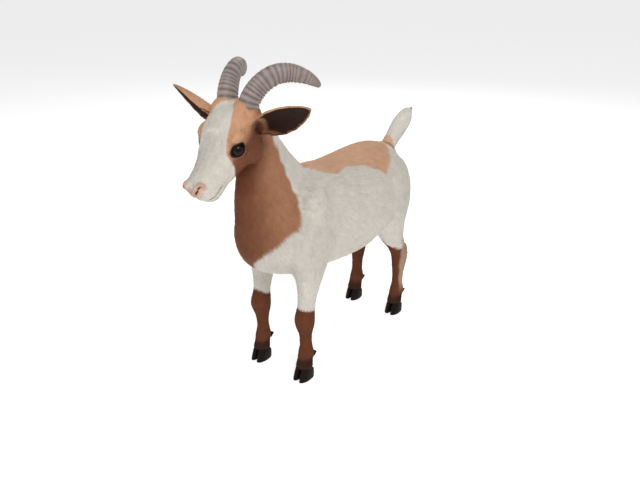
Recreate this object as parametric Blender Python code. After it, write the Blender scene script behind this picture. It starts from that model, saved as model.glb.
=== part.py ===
"""A young dwarf goat standing square, life size, as separate closed solids.

Metres, +Z up. The goat faces -Y, so its left side is +X. The shape is set out with y = 0 under the
forefeet and is moved at the end, so that the origin is at the bottom centre of the whole goat.
The flesh is made as one form and parted by thin cuts into head, neck, trunk, tail and legs.
"""

import math

import bmesh
import bpy
import numpy as np
from mathutils import Matrix, Vector

# Driving sizes
cut_gap = 0.0004          # width of the thin cuts that part the flesh
fit_gap = 0.0003          # clearance round horns, ears, eyes and claws
flesh_voxel = 0.0038      # grid that melts the overlapping forms together
flesh_smoothing = 26      # rounds of smoothing on trunk and neck
fine_smoothing = 0.10     # share of it on head, tail and lower legs
flesh_triangles = 4300    # of the whole flesh, before it is cut
ring_sides = 24

leg_spread = 0.071        # from the middle plane to the middle of each foot
claw_width = 0.0195
cleft = 0.0024            # between the two claws of a foot
horn_depth = 0.048        # fore and aft at the root
horn_width = 0.037
ear_thickness = 0.0048
eye_radius = 0.0165
eye_place = (0.083, -0.036, 0.0420)       # along, out and across in the head frame

# Head frame: along runs from the poll to the nose, out rises from the brow
poll = Vector((0, -0.129, 0.700))
head_pitch = math.radians(46)
head_scale = 1.0
along_head = Vector((0, -math.cos(head_pitch), -math.sin(head_pitch)))
out_of_brow = Vector((0, -math.sin(head_pitch), math.cos(head_pitch)))

coat_white = (0.78, 0.74, 0.67, 1)
coat_brown = (0.30, 0.13, 0.07, 1)
horn_grey = (0.20, 0.17, 0.16, 1)
hoof_black = (0.02, 0.014, 0.011, 1)
eye_dark = (0.012, 0.008, 0.006, 1)


def clear_scene():
    for old in list(bpy.data.objects):
        bpy.data.objects.remove(old)


def surface(name, colour, roughness):
    made = bpy.data.materials.new(name)
    made.use_nodes = True
    shader = made.node_tree.nodes["Principled BSDF"]
    shader.inputs["Base Color"].default_value = colour
    shader.inputs["Roughness"].default_value = roughness
    shader.inputs["Metallic"].default_value = 0.0
    return made


def add_object(name, shape, material=None):
    bmesh.ops.recalc_face_normals(shape, faces=shape.faces)
    mesh = bpy.data.meshes.new(name)
    shape.to_mesh(mesh)
    shape.free()
    made = bpy.data.objects.new(name, mesh)
    bpy.context.scene.collection.objects.link(made)
    if material:
        mesh.materials.append(material)
    return made


def settle(thing):
    """Replaces an object's mesh by what its modifiers make of it."""
    graph = bpy.context.evaluated_depsgraph_get()
    made = bpy.data.meshes.new_from_object(thing.evaluated_get(graph))
    thing.modifiers.clear()
    thing.data = made


def boolean(thing, cutter, kind):
    change = thing.modifiers.new(kind, "BOOLEAN")
    change.object = cutter
    change.operation = kind
    change.solver = "EXACT"
    settle(thing)


def copy_of(thing, name):
    made = thing.copy()
    made.data = thing.data.copy()
    made.name = name
    bpy.context.scene.collection.objects.link(made)
    return made


def grown(thing, margin):
    """A copy with its surface moved outwards by margin."""
    made = copy_of(thing, thing.name + "_grown")
    shape = bmesh.new()
    shape.from_mesh(made.data)
    bmesh.ops.recalc_face_normals(shape, faces=shape.faces)
    moves = [(v, v.normal * v.calc_shell_factor() * margin) for v in shape.verts]
    for vertex, move in moves:
        vertex.co += move
    shape.to_mesh(made.data)
    shape.free()
    return made


def drop(*things):
    for thing in things:
        bpy.data.objects.remove(thing)


def fair_rows(rows, steps):
    """Catmull-Rom rows between the given ones, so that a few stations make a fair curve."""
    rows = np.array(rows, float)
    padded = np.vstack([2 * rows[0] - rows[1], rows, 2 * rows[-1] - rows[-2]])
    found = []
    for i in range(len(rows) - 1):
        a, b, c, d = padded[i : i + 4]
        for t in np.arange(steps) / steps:
            bend = (2 * a - 5 * b + 4 * c - d) * t**2 + (3 * b - a - 3 * c + d) * t**3
            found.append(0.5 * (2 * b + (c - a) * t + bend))
    return np.array(found + [rows[-1]])


def loft(shape, rings):
    """Adds a closed form through rings of places, extruding each ring from the last."""
    ring = [shape.verts.new(place) for place in rings[0]]
    edges = [shape.edges.new((ring[k - 1], ring[k])) for k in range(len(ring))]
    shape.faces.new(ring)
    for places in rings[1:]:
        made = set(bmesh.ops.extrude_edge_only(shape, edges=edges)["geom"])
        ring = [next(e.other_vert(v) for e in v.link_edges if e.other_vert(v) in made)
                for v in ring]
        edges = [e for e in made if isinstance(e, bmesh.types.BMEdge)
                 and all(v in ring for v in e.verts)]
        for vertex, place in zip(ring, places):
            vertex.co = place
    shape.faces.new(ring)


def rounded(angle, fullness):
    """Across and up shares of a rounded ring. A fullness above 2 squares the ring."""
    across, up = math.cos(angle), math.sin(angle)
    return (math.copysign(abs(across) ** (2 / fullness), across),
            math.copysign(abs(up) ** (2 / fullness), up))


def sweep(shape, stations, steps=3, sides=ring_sides, fullness=2.2):
    """Adds a form through stations (upper y, upper z, lower y, lower z, half width, centre x, widest).

    Each ring runs between its upper and lower point in the side view. widest is the share of the way
    from the lower point at which the ring is widest.
    """
    rings = []
    for upper_y, upper_z, lower_y, lower_z, half, centre, widest in fair_rows(stations, steps):
        upper, lower = Vector((0, upper_y, upper_z)), Vector((0, lower_y, lower_z))
        middle = lower.lerp(upper, widest)
        places = []
        for k in range(sides):
            across, up = rounded(2 * math.pi * k / sides, fullness)
            arm = (upper - middle) if up > 0 else (middle - lower)
            places.append(middle + arm * up + Vector((centre + half * across, 0, 0)))
        rings.append(places)
    loft(shape, rings)


def ball(shape, centre, radii, pitch=0.0, detail=3):
    """Adds an ellipsoid with radii along X, Y and Z, turned about X by pitch in degrees."""
    turn = Matrix.Rotation(math.radians(pitch), 4, "X")
    place = Matrix.Translation(centre) @ turn @ Matrix.Diagonal((*radii, 1))
    bmesh.ops.create_icosphere(shape, subdivisions=detail, radius=1.0, matrix=place)


def in_head(along, out, across=0.0):
    return poll + head_scale * (along_head * along + out_of_brow * out) + Vector((across, 0, 0))


def head_ball(shape, along, out, across, radii, detail=3):
    """Adds an ellipsoid in the head frame, with radii across, along the head and out of the brow."""
    sizes = [r * head_scale for r in radii]
    ball(shape, in_head(along, out, across), sizes, math.degrees(head_pitch), detail)


def add_trunk(shape):
    sweep(shape, [
        (-0.114, 0.420, -0.112, 0.356, 0.022, 0, 0.50),
        (-0.098, 0.458, -0.096, 0.322, 0.048, 0, 0.50),
        (-0.060, 0.482, -0.056, 0.292, 0.070, 0, 0.46),
        (0.000, 0.498, 0.000, 0.268, 0.086, 0, 0.44),
        (0.060, 0.511, 0.060, 0.256, 0.092, 0, 0.43),
        (0.115, 0.514, 0.115, 0.249, 0.100, 0, 0.43),
        (0.180, 0.506, 0.180, 0.244, 0.113, 0, 0.44),
        (0.250, 0.505, 0.250, 0.247, 0.121, 0, 0.45),
        (0.310, 0.509, 0.310, 0.262, 0.115, 0, 0.46),
        (0.360, 0.512, 0.360, 0.292, 0.099, 0, 0.50),
        (0.405, 0.506, 0.405, 0.325, 0.086, 0, 0.50),
        (0.442, 0.487, 0.442, 0.350, 0.062, 0, 0.50),
        (0.464, 0.455, 0.464, 0.375, 0.034, 0, 0.50),
    ], fullness=2.15)


def add_neck(shape):
    sweep(shape, [
        (0.105, 0.497, -0.108, 0.350, 0.062, 0, 0.42),
        (0.072, 0.528, -0.120, 0.410, 0.058, 0, 0.42),
        (0.032, 0.567, -0.120, 0.466, 0.052, 0, 0.45),
        (-0.004, 0.609, -0.110, 0.522, 0.047, 0, 0.48),
        (-0.040, 0.651, -0.099, 0.568, 0.043, 0, 0.50),
        (-0.074, 0.682, -0.100, 0.606, 0.038, 0, 0.50),
    ], fullness=2.05)


def add_head(shape):
    profile = [  # along, upper out, lower out, half width, widest
        (-0.024, -0.022, -0.070, 0.0250, 0.50),
        (-0.006, -0.006, -0.090, 0.0405, 0.55),
        (0.020, 0.005, -0.104, 0.0500, 0.60),
        (0.045, 0.010, -0.111, 0.0535, 0.66),
        (0.070, 0.006, -0.110, 0.0540, 0.68),
        (0.095, -0.004, -0.103, 0.0510, 0.64),
        (0.120, -0.0105, -0.094, 0.0435, 0.57),
        (0.145, -0.0130, -0.089, 0.0375, 0.50),
        (0.165, -0.0125, -0.086, 0.0350, 0.50),
        (0.182, -0.0140, -0.080, 0.0320, 0.52),
        (0.193, -0.0200, -0.070, 0.0260, 0.55),
        (0.199, -0.0280, -0.056, 0.0150, 0.55),
    ]
    stations = []
    for along, upper, lower, half, widest in profile:
        top, bottom = in_head(along, upper), in_head(along, lower)
        stations.append((top.y, top.z, bottom.y, bottom.z, half * head_scale, 0, widest))
    sweep(shape, stations, fullness=2.15)
    for side in (1, -1):
        head_ball(shape, 0.066, -0.019, side * 0.0470, (0.0120, 0.023, 0.015))    # brow over the eye
        head_ball(shape, 0.083, -0.036, side * 0.0420, (0.0205, 0.0225, 0.0205))  # eyelids
        head_ball(shape, 0.094, -0.060, side * 0.0360, (0.0130, 0.028, 0.015))    # cheekbone
        head_ball(shape, 0.056, -0.079, side * 0.0335, (0.0175, 0.034, 0.033))    # jaw muscle
        head_ball(shape, 0.186, -0.022, side * 0.0160, (0.0135, 0.0120, 0.0100))  # nostril wing
        head_ball(shape, 0.173, -0.047, side * 0.0180, (0.0175, 0.021, 0.0155))   # upper lip
        head_ball(shape, 0.012, -0.034, side * 0.0445, (0.0135, 0.021, 0.021))    # ear root
        head_ball(shape, 0.016, -0.004, side * 0.0255, (0.0210, 0.028, 0.0120))   # horn root
    head_ball(shape, 0.172, -0.076, 0, (0.0215, 0.0200, 0.0130))                  # chin


def add_tail(shape):
    sweep(shape, [
        (0.4060, 0.4600, 0.4360, 0.4280, 0.016, 0, 0.5),
        (0.4296, 0.4872, 0.4650, 0.4480, 0.019, 0, 0.5),
        (0.4600, 0.5085, 0.4930, 0.4740, 0.0195, 0, 0.5),
        (0.4885, 0.5365, 0.5265, 0.4970, 0.0215, 0, 0.5),
        (0.5180, 0.5595, 0.5570, 0.5180, 0.0205, 0, 0.5),
        (0.5460, 0.5690, 0.5740, 0.5390, 0.0145, 0, 0.5),
        (0.5660, 0.5690, 0.5760, 0.5590, 0.0060, 0, 0.5),
    ], fullness=2.0)


def add_foreleg(shape, side):
    levels = [  # front y, rear y, height, half width, distance from the middle plane
        (-0.030, 0.080, 0.450, 0.018, 0.058),
        (-0.048, 0.090, 0.405, 0.030, 0.065),
        (-0.052, 0.090, 0.352, 0.035, 0.069),
        (-0.033, 0.084, 0.306, 0.032, 0.0715),
        (-0.015, 0.066, 0.266, 0.0275, 0.072),
        (-0.010, 0.047, 0.228, 0.0228, 0.072),
        (-0.010, 0.036, 0.198, 0.0210, 0.0715),
        (-0.0195, 0.0335, 0.168, 0.0245, 0.071),
        (-0.0170, 0.0325, 0.148, 0.0232, 0.071),
        (-0.0070, 0.0275, 0.120, 0.0162, 0.071),
        (-0.0055, 0.0275, 0.092, 0.0156, 0.071),
        (-0.0100, 0.0325, 0.068, 0.0202, 0.071),
        (-0.0140, 0.0285, 0.051, 0.0188, 0.071),
        (-0.0205, 0.0265, 0.034, 0.0213, 0.071),
        (-0.0255, 0.0245, 0.014, 0.0208, 0.071),
    ]
    add_leg(shape, side, levels)


def add_hindleg(shape, side):
    levels = [
        (0.335, 0.450, 0.460, 0.022, 0.052),
        (0.318, 0.465, 0.425, 0.036, 0.058),
        (0.306, 0.469, 0.380, 0.043, 0.062),
        (0.306, 0.456, 0.335, 0.041, 0.066),
        (0.314, 0.436, 0.292, 0.035, 0.069),
        (0.344, 0.432, 0.250, 0.0280, 0.071),
        (0.382, 0.446, 0.214, 0.0236, 0.071),
        (0.404, 0.464, 0.184, 0.0224, 0.071),
        (0.411, 0.458, 0.156, 0.0204, 0.071),
        (0.414, 0.449, 0.122, 0.0165, 0.071),
        (0.413, 0.447, 0.092, 0.0158, 0.071),
        (0.408, 0.451, 0.068, 0.0202, 0.071),
        (0.402, 0.445, 0.050, 0.0190, 0.071),
        (0.3955, 0.4425, 0.034, 0.0213, 0.071),
        (0.3905, 0.4405, 0.014, 0.0208, 0.071),
    ]
    add_leg(shape, side, levels)


def add_leg(shape, side, levels):
    sweep(shape, [(front, level, rear, level, half, side * away, 0.5)
                  for front, rear, level, half, away in levels], sides=20, fullness=2.1)


def make_flesh():
    """One closed form for everything that is covered with coat, except the ears."""
    shape = bmesh.new()
    add_trunk(shape)
    add_neck(shape)
    add_head(shape)
    add_tail(shape)
    for side in (1, -1):
        add_foreleg(shape, side)
        add_hindleg(shape, side)
        ball(shape, (side * 0.071, 0.455, 0.190), (0.0130, 0.0110, 0.021), -18)   # point of the hock
        ball(shape, (side * 0.080, 0.046, 0.352), (0.025, 0.060, 0.066), 20)      # upper arm
        ball(shape, (side * 0.060, 0.050, 0.405), (0.038, 0.064, 0.080), -15)     # shoulder blade
        ball(shape, (side * 0.070, 0.358, 0.395), (0.044, 0.068, 0.078), 15)      # thigh
        ball(shape, (side * 0.048, -0.044, 0.376), (0.034, 0.044, 0.060))         # point of the shoulder
    flesh = add_object("flesh", shape)
    melt = flesh.modifiers.new("melt", "REMESH")
    melt.mode = "VOXEL"
    melt.voxel_size = flesh_voxel
    settle(flesh)
    broad = flesh.vertex_groups.new(name="broad")
    for vertex in flesh.data.vertices:
        x, y, z = vertex.co
        fine = z < 0.23 or (y < -0.07 and z > 0.50) or (y > 0.43 and z > 0.48)
        broad.add([vertex.index], fine_smoothing if fine else 1.0, "REPLACE")
    ease = flesh.modifiers.new("ease", "SMOOTH")
    ease.factor = 0.5
    ease.iterations = flesh_smoothing
    ease.vertex_group = "broad"
    settle(flesh)
    thin = flesh.modifiers.new("thin", "DECIMATE")
    thin.ratio = flesh_triangles / (2 * len(flesh.data.polygons))
    settle(flesh)
    return flesh


def hull(name, places):
    shape = bmesh.new()
    for place in places:
        shape.verts.new(place)
    found = bmesh.ops.convex_hull(shape, input=shape.verts)
    loose = [v for v in found["geom_interior"] if isinstance(v, bmesh.types.BMVert)]
    bmesh.ops.delete(shape, geom=loose, context="VERTS")
    return add_object(name, shape)


def slab(name, line, beyond, half=0.3):
    """A block whose near face stands on a line of the side view, reaching towards beyond."""
    (ay, az), (by, bz) = line
    reach = Vector((0, *beyond))
    ends = [Vector((0, ay, az)), Vector((0, by, bz))]
    places = []
    for x in (-half, half):
        for end in ends:
            places += [end + Vector((x, 0, 0)), end + reach + Vector((x, 0, 0))]
    return hull(name, places)


def foreleg_territory(side):
    outer = [(-0.09, -0.02), (-0.09, 0.25), (-0.064, 0.345), (-0.030, 0.420), (0.020, 0.447),
             (0.065, 0.430), (0.098, 0.345), (0.13, 0.20), (0.13, -0.02)]
    inner = [(-0.09, -0.02), (-0.09, 0.20), (-0.045, 0.262), (0.075, 0.245), (0.13, 0.18), (0.13, -0.02)]
    return hull("foreleg_territory", [(side * x, y, z) for x, line in ((0.2, outer), (0.115, outer),
                                      (0.028, inner)) for y, z in line])


def hindleg_territory(side):
    outer = [(0.28, -0.02), (0.28, 0.21), (0.312, 0.300), (0.338, 0.395), (0.372, 0.445),
             (0.420, 0.462), (0.52, 0.452), (0.56, 0.20), (0.56, -0.02)]
    inner = [(0.28, -0.02), (0.28, 0.21), (0.52, 0.382), (0.56, 0.20), (0.56, -0.02)]
    return hull("hindleg_territory", [(side * x, y, z) for x, line in ((0.2, outer), (0.105, outer),
                                      (0.006, inner)) for y, z in line])


def split_off(rest, name, territory):
    """Parts a named piece from the rest, with a thin gap between them."""
    piece = copy_of(rest, name)
    boolean(piece, territory, "INTERSECT")
    wider = grown(territory, cut_gap)
    boolean(rest, wider, "DIFFERENCE")
    drop(territory, wider)
    return piece


def coronet(toe):
    """The top of the claws of a foot, as a line in the side view. toe is the y of the toe's tip."""
    return (toe - 0.004, 0.0385), (toe + 0.060, 0.0190)


def coronet_height(toe, y):
    (ay, az), (by, bz) = coronet(toe)
    return az + (bz - az) * (y - ay) / (by - ay)


def make_claw(name, side, toe, outward, material):
    """One claw. outward is 1 for the claw away from the middle plane and -1 for the inner one."""
    rings = []
    for share in (0.0, 0.15, 0.55, 1.0):
        front = toe + 0.0130 * share + 0.0012 * (1 - share) ** 4
        rear = toe + 0.0500 + 0.0010 * share
        swell = 1 - 0.05 * share + 0.03 * math.sin(math.pi * share)
        places = []
        for k in range(10):
            forth, out = rounded(2 * math.pi * k / 10, 2.6)
            y = (front + rear) / 2 - (rear - front) / 2 * forth
            narrow = 1 - 0.20 * max(0.0, forth) ** 2
            x = cleft / 2 + claw_width * swell * (0.5 + 0.5 * out) * narrow
            z = share * (coronet_height(toe, y) - fit_gap)
            places.append((side * (leg_spread + outward * x), y, z))
        rings.append(places)
    shape = bmesh.new()
    loft(shape, rings)
    return add_object(name, shape, material)


def make_dewclaw(name, side, rear, outward, material, leg):
    place = Vector((side * (leg_spread + outward * 0.0088), rear, 0.0590))
    shape = bmesh.new()
    turn = Matrix.Rotation(math.radians(-28), 4, "X")
    bmesh.ops.create_cone(shape, cap_ends=True, segments=8, radius1=0.0038, radius2=0.0062, depth=0.0150,
                          matrix=Matrix.Translation(place) @ turn)
    made = add_object(name, shape, material)
    body = grown(leg, fit_gap)
    boolean(made, body, "DIFFERENCE")
    drop(body)
    return made


def make_ear(name, side, material, head):
    """A cupped leaf, open to the front and below. Rings run round the back and return inside."""
    rows = fair_rows([  # x, y, z of the spine of the ear, width when unrolled, half of the arc in degrees
        (0.031, -0.1010, 0.6450, 0.054, 135),
        (0.054, -0.1020, 0.6600, 0.068, 118),
        (0.077, -0.1030, 0.6715, 0.085, 94),
        (0.103, -0.1045, 0.6820, 0.091, 74),
        (0.132, -0.1060, 0.6915, 0.080, 60),
        (0.159, -0.1080, 0.6995, 0.057, 50),
        (0.178, -0.1095, 0.7045, 0.031, 44),
        (0.188, -0.1100, 0.7065, 0.011, 40),
    ], 1)
    rings = []
    for number, (x, y, z, width, arc) in enumerate(rows):
        ahead = Vector(rows[min(number + 1, len(rows) - 1)][:3])
        behind = Vector(rows[max(number - 1, 0)][:3])
        spine = (ahead - behind).normalized()
        opening = Vector((0.18, -0.74, -0.62))
        opening = (opening - spine * opening.dot(spine)).normalized()
        edge = spine.cross(opening)
        half = math.radians(arc)
        radius = width / (2 * half)
        centre = Vector((x, y, z)) + opening * radius
        outside, inside = [], []
        for share in np.linspace(-1, 1, 8):
            direction = -opening * math.cos(half * share) + edge * math.sin(half * share)
            outside.append(centre + direction * radius)
            thick = min(ear_thickness, 0.45 * width, 0.55 * radius) * (1 - 0.55 * abs(share) ** 3)
            inside.append(centre + direction * (radius - thick))
        ring = outside + inside[::-1]
        rings.append([Vector((side * p.x, p.y, p.z)) for p in ring])
    shape = bmesh.new()
    loft(shape, rings)
    made = add_object(name, shape, material)
    body = grown(head, fit_gap)
    boolean(made, body, "DIFFERENCE")
    drop(body)
    return made


def make_horn(name, side, material, head):
    rows = fair_rows([  # x, y, z of the core, size as a share of the root
        (0.0240, -0.1150, 0.6600, 1.00),
        (0.0280, -0.1120, 0.6860, 1.00),
        (0.0345, -0.1020, 0.7120, 0.97),
        (0.0445, -0.0820, 0.7345, 0.91),
        (0.0565, -0.0560, 0.7475, 0.83),
        (0.0720, -0.0290, 0.7485, 0.73),
        (0.0880, -0.0060, 0.7400, 0.59),
        (0.1010, 0.0090, 0.7285, 0.42),
        (0.1100, 0.0170, 0.7180, 0.19),
    ], 2)
    rings = []
    for number, (x, y, z, size) in enumerate(rows):
        ahead = Vector(rows[min(number + 1, len(rows) - 1)][:3])
        behind = Vector(rows[max(number - 1, 0)][:3])
        core = (ahead - behind).normalized()
        flat = (Vector((1, 0, 0)) - core * core.x).normalized()
        front = core.cross(flat)
        places = []
        for k in range(10):
            across, forth = rounded(2 * math.pi * k / 10, 2.0)
            keel = 1.0 + 0.10 * max(0.0, forth)
            offset = flat * across * horn_width / 2 * (1 - 0.12 * max(0.0, forth))
            offset += front * forth * horn_depth / 2 * keel
            place = Vector((x, y, z)) + offset * size
            places.append(Vector((side * place.x, place.y, place.z)))
        rings.append(places)
    shape = bmesh.new()
    loft(shape, rings)
    made = add_object(name, shape, material)
    body = grown(head, fit_gap)
    boolean(made, body, "DIFFERENCE")
    drop(body)
    return made


def make_eye(name, side, material, head):
    """The front of an eyeball, and the opening between the lids through which it shows."""
    along, out, across = eye_place
    centre = in_head(along, out, side * across)
    look = (Vector((side * 0.82, 0, 0)) + along_head * 0.36 + out_of_brow * 0.40).normalized()
    slit = along_head + out_of_brow * 0.20
    slit = (slit - look * slit.dot(look)).normalized()
    frame = Matrix((look, slit, look.cross(slit))).transposed().to_4x4()
    shape = bmesh.new()
    bmesh.ops.create_icosphere(shape, subdivisions=3, radius=eye_radius,
                               matrix=Matrix.Translation(centre) @ frame)
    whole = shape.verts[:] + shape.edges[:] + shape.faces[:]
    bmesh.ops.bisect_plane(shape, geom=whole, plane_co=centre - look * 0.0010, plane_no=look,
                           clear_inner=True)
    bmesh.ops.holes_fill(shape, edges=[e for e in shape.edges if e.is_boundary])
    made = add_object(name, shape, material)
    socket = grown(made, fit_gap)
    boolean(head, socket, "DIFFERENCE")
    shape = bmesh.new()
    place = Matrix.Translation(centre + look * 0.0150) @ frame
    bmesh.ops.create_uvsphere(shape, u_segments=16, v_segments=6, radius=1.0,
                              matrix=place @ Matrix.Diagonal((0.0120, 0.0165, 0.0120, 1)))
    opening = add_object("opening", shape)
    boolean(head, opening, "DIFFERENCE")
    drop(socket, opening)
    return made


clear_scene()
white = surface("coat_white", coat_white, 0.9)
brown = surface("coat_brown", coat_brown, 0.9)
horn_surface = surface("horn", horn_grey, 0.5)
hoof_surface = surface("hoof", hoof_black, 0.45)
eye_surface = surface("eye", eye_dark, 0.08)

flesh = make_flesh()
flesh.data.materials.append(white)
fore_toe, hind_toe = -0.0280, 0.3880
for toe in (fore_toe, hind_toe):
    line = coronet(toe)
    under = slab("foot_room", line, (0, -0.06))
    boolean(flesh, under, "DIFFERENCE")
    drop(under)

head = split_off(flesh, "head", slab("head_side", ((-0.0450, 0.724), (-0.1438, 0.435)), (-0.20, 0.02)))
neck = split_off(flesh, "neck", slab("neck_side", ((0.120, 0.554), (-0.145, 0.375)), (-0.20, 0.30)))
tail = split_off(flesh, "tail", slab("tail_side", ((0.380, 0.530), (0.520, 0.411)), (0.20, 0.20)))
legs = {}
for side, word in ((1, "left"), (-1, "right")):
    for end, territory in (("fore", foreleg_territory(side)), ("hind", hindleg_territory(side))):
        leg = split_off(flesh, f"{end}leg_{word}", territory)
        legs[f"{end}_{word}"] = leg
flesh.name = "trunk"

solid_head = copy_of(head, "solid_head")
for side, word in ((1, "left"), (-1, "right")):
    make_eye("eye_" + word, side, eye_surface, head)
    make_ear("ear_" + word, side, brown, solid_head)
    make_horn("horn_" + word, side, horn_surface, solid_head)
    for end, toe, rear in (("fore", fore_toe, 0.0285), ("hind", hind_toe, 0.4465)):
        leg = legs[f"{end}_{word}"]
        for place, outward in (("outer", 1), ("inner", -1)):
            make_claw(f"claw_{end}_{word}_{place}", side, toe, outward, hoof_surface)
            make_dewclaw(f"dewclaw_{end}_{word}_{place}", side, rear, outward, hoof_surface, leg)
drop(solid_head)

corners = [v.co for thing in bpy.data.objects for v in thing.data.vertices]
low = [min(c[i] for c in corners) for i in range(3)]
high = [max(c[i] for c in corners) for i in range(3)]
origin = Vector(((low[0] + high[0]) / 2, (low[1] + high[1]) / 2, low[2]))
for thing in bpy.data.objects:
    for vertex in thing.data.vertices:
        vertex.co -= origin
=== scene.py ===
import math

import bmesh
import bpy
import numpy as np
from mathutils import Matrix, Vector
from mathutils.bvhtree import BVHTree


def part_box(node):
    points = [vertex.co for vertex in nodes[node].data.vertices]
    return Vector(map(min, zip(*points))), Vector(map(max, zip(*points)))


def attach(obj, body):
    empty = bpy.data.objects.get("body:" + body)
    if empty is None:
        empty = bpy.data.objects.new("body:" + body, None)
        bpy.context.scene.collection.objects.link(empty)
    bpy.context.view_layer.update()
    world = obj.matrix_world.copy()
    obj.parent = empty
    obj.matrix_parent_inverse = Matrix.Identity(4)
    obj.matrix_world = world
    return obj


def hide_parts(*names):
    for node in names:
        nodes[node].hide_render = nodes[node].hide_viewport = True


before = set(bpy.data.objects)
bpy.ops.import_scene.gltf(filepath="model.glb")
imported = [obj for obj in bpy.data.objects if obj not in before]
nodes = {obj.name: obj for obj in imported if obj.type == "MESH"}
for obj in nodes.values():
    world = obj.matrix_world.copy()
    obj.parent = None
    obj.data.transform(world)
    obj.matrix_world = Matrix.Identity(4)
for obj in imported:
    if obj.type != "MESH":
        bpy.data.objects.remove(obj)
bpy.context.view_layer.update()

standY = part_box("claw_fore_left_outer")[0].y + 0.028   # y of the point midway under the forefeet
sides = (("left", 1), ("right", -1))


# places: x from the middle plane, y back from under the forefeet, z above the ground
def place(x, y, z):
    return Vector((x, y + standY, z))


headPlan = {"poll": (0, -0.129, 0.700), "pitch": 46}   # degrees that the head points down
pitch = math.radians(headPlan["pitch"])
alongHead = Vector((0, -math.cos(pitch), -math.sin(pitch)))
outOfBrow = Vector((0, alongHead.z, -alongHead.y))


def inHead(along, out, across=0.0):
    return place(*headPlan["poll"]) + alongHead * along + outOfBrow * out + Vector((across, 0, 0))


def headPlaces(spots):
    # along the head, out of the brow and across, for an array of places
    apart = spots - np.array(place(*headPlan["poll"]))
    return apart @ np.array(alongHead), apart @ np.array(outOfBrow), apart[:, 0]


# small tools
def link(name, data):
    made = bpy.data.objects.new(name, data)
    bpy.context.scene.collection.objects.link(made)
    return made


def newPiece(name, bm, *materials):
    mesh = bpy.data.meshes.new(name)
    bm.to_mesh(mesh)
    bm.free()
    for material in materials:
        mesh.materials.append(material)
    mesh.polygons.foreach_set("use_smooth", [True] * len(mesh.polygons))
    return link(name, mesh)


def read(rows, key, width, kind=np.float32):
    flat = np.empty(len(rows) * width, kind)
    rows.foreach_get(key, flat)
    return flat.reshape(-1, width)


def spotsOf(mesh):
    return read(mesh.vertices, "co", 3).astype(float)


def setSpots(mesh, spots):
    mesh.vertices.foreach_set("co", spots.astype(np.float32).ravel())
    mesh.update()


def normalsOf(mesh):
    return read(mesh.vertex_normals, "vector", 3).astype(float)


def addColour(mesh, name, colour):
    full = np.ones((len(colour), 4), np.float32)
    full[:, :3] = colour
    mesh.attributes.new(name, "FLOAT_COLOR", "POINT").data.foreach_set("color", full.ravel())


def addNumber(mesh, name, values):
    mesh.attributes.new(name, "FLOAT", "POINT").data.foreach_set("value", values.astype(np.float32))


def linksOf(mesh):
    # both ends of each edge, and how many edges meet at each vertex
    first, second = read(mesh.edges, "vertices", 2, np.int32).T
    return first, second, np.maximum(np.bincount(np.r_[first, second], minlength=len(mesh.vertices)), 1)


def average(values, first, second, count):
    total = np.zeros_like(values)
    for axis in range(values.shape[1]):
        total[:, axis] = np.bincount(first, values[second, axis], len(values))
        total[:, axis] += np.bincount(second, values[first, axis], len(values))
    return total / count[:, None]


def relax(mesh, rounds, weight, keepSize=0.52):
    # smooths, and swells back by keepSize each round so that thin parts stay thick
    spots, links = spotsOf(mesh), linksOf(mesh)
    for turn in range(rounds):
        for share in (0.5, -keepSize):
            spots += (average(spots, *links) - spots) * (share * weight[:, None])
    setSpots(mesh, spots)


def unit(vectors):
    return vectors / np.maximum(np.linalg.norm(vectors, axis=-1, keepdims=True), 1e-12)


def step(value, low, high):
    share = np.clip((value - low) / (high - low), 0, 1)
    return share * share * (3 - 2 * share)


def bell(value, width):
    return np.exp(-(value / width) ** 2)


def lineDistance(spots, path):
    # distance from each spot to a path of straight stretches
    nearest = np.full(len(spots), 1e9)
    for start, end in zip(path[:-1], path[1:]):
        start, end = np.array(start, float), np.array(end, float)
        run = end - start
        share = np.clip((spots - start) @ run / (run @ run), 0, 1)
        nearest = np.minimum(nearest, np.linalg.norm(spots - start - share[:, None] * run, axis=1))
    return nearest


def loopDistance(across, up, loop):
    # distance to the edge of a closed loop, positive inside
    spots = np.stack([across, up], 1)
    nearest = lineDistance(spots, list(loop) + [loop[0]])
    inside = np.zeros(len(spots), bool)
    for (ax, ay), (bx, by) in zip(loop, list(loop[1:]) + [loop[0]]):
        crossing = (ay > up) != (by > up)
        slope = (bx - ax) / (by - ay if by != ay else 1e-9)
        inside ^= crossing & (across < ax + (up - ay) * slope)
    return np.where(inside, nearest, -nearest)


# camera, floor and light
cameraPlan = {"stand": (0.9286, -1.0303, 0.9655), "azimuth": 38.05, "elevation": 23.86, "lens": 36.47}


def aimAt(thing, spot, direction):
    thing.location = spot
    thing.rotation_mode = "QUATERNION"
    thing.rotation_quaternion = direction.to_track_quat("-Z", "Y")


azimuth, elevation = math.radians(cameraPlan["azimuth"]), math.radians(cameraPlan["elevation"])
look = Vector((-math.sin(azimuth) * math.cos(elevation), math.cos(azimuth) * math.cos(elevation),
               -math.sin(elevation)))
camera = link("camera", bpy.data.cameras.new("camera"))
camera.data.lens = cameraPlan["lens"]
camera.data.sensor_width = 36
camera.data.clip_end = 50
aimAt(camera, place(*cameraPlan["stand"]), look)
bpy.context.scene.camera = camera

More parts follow.
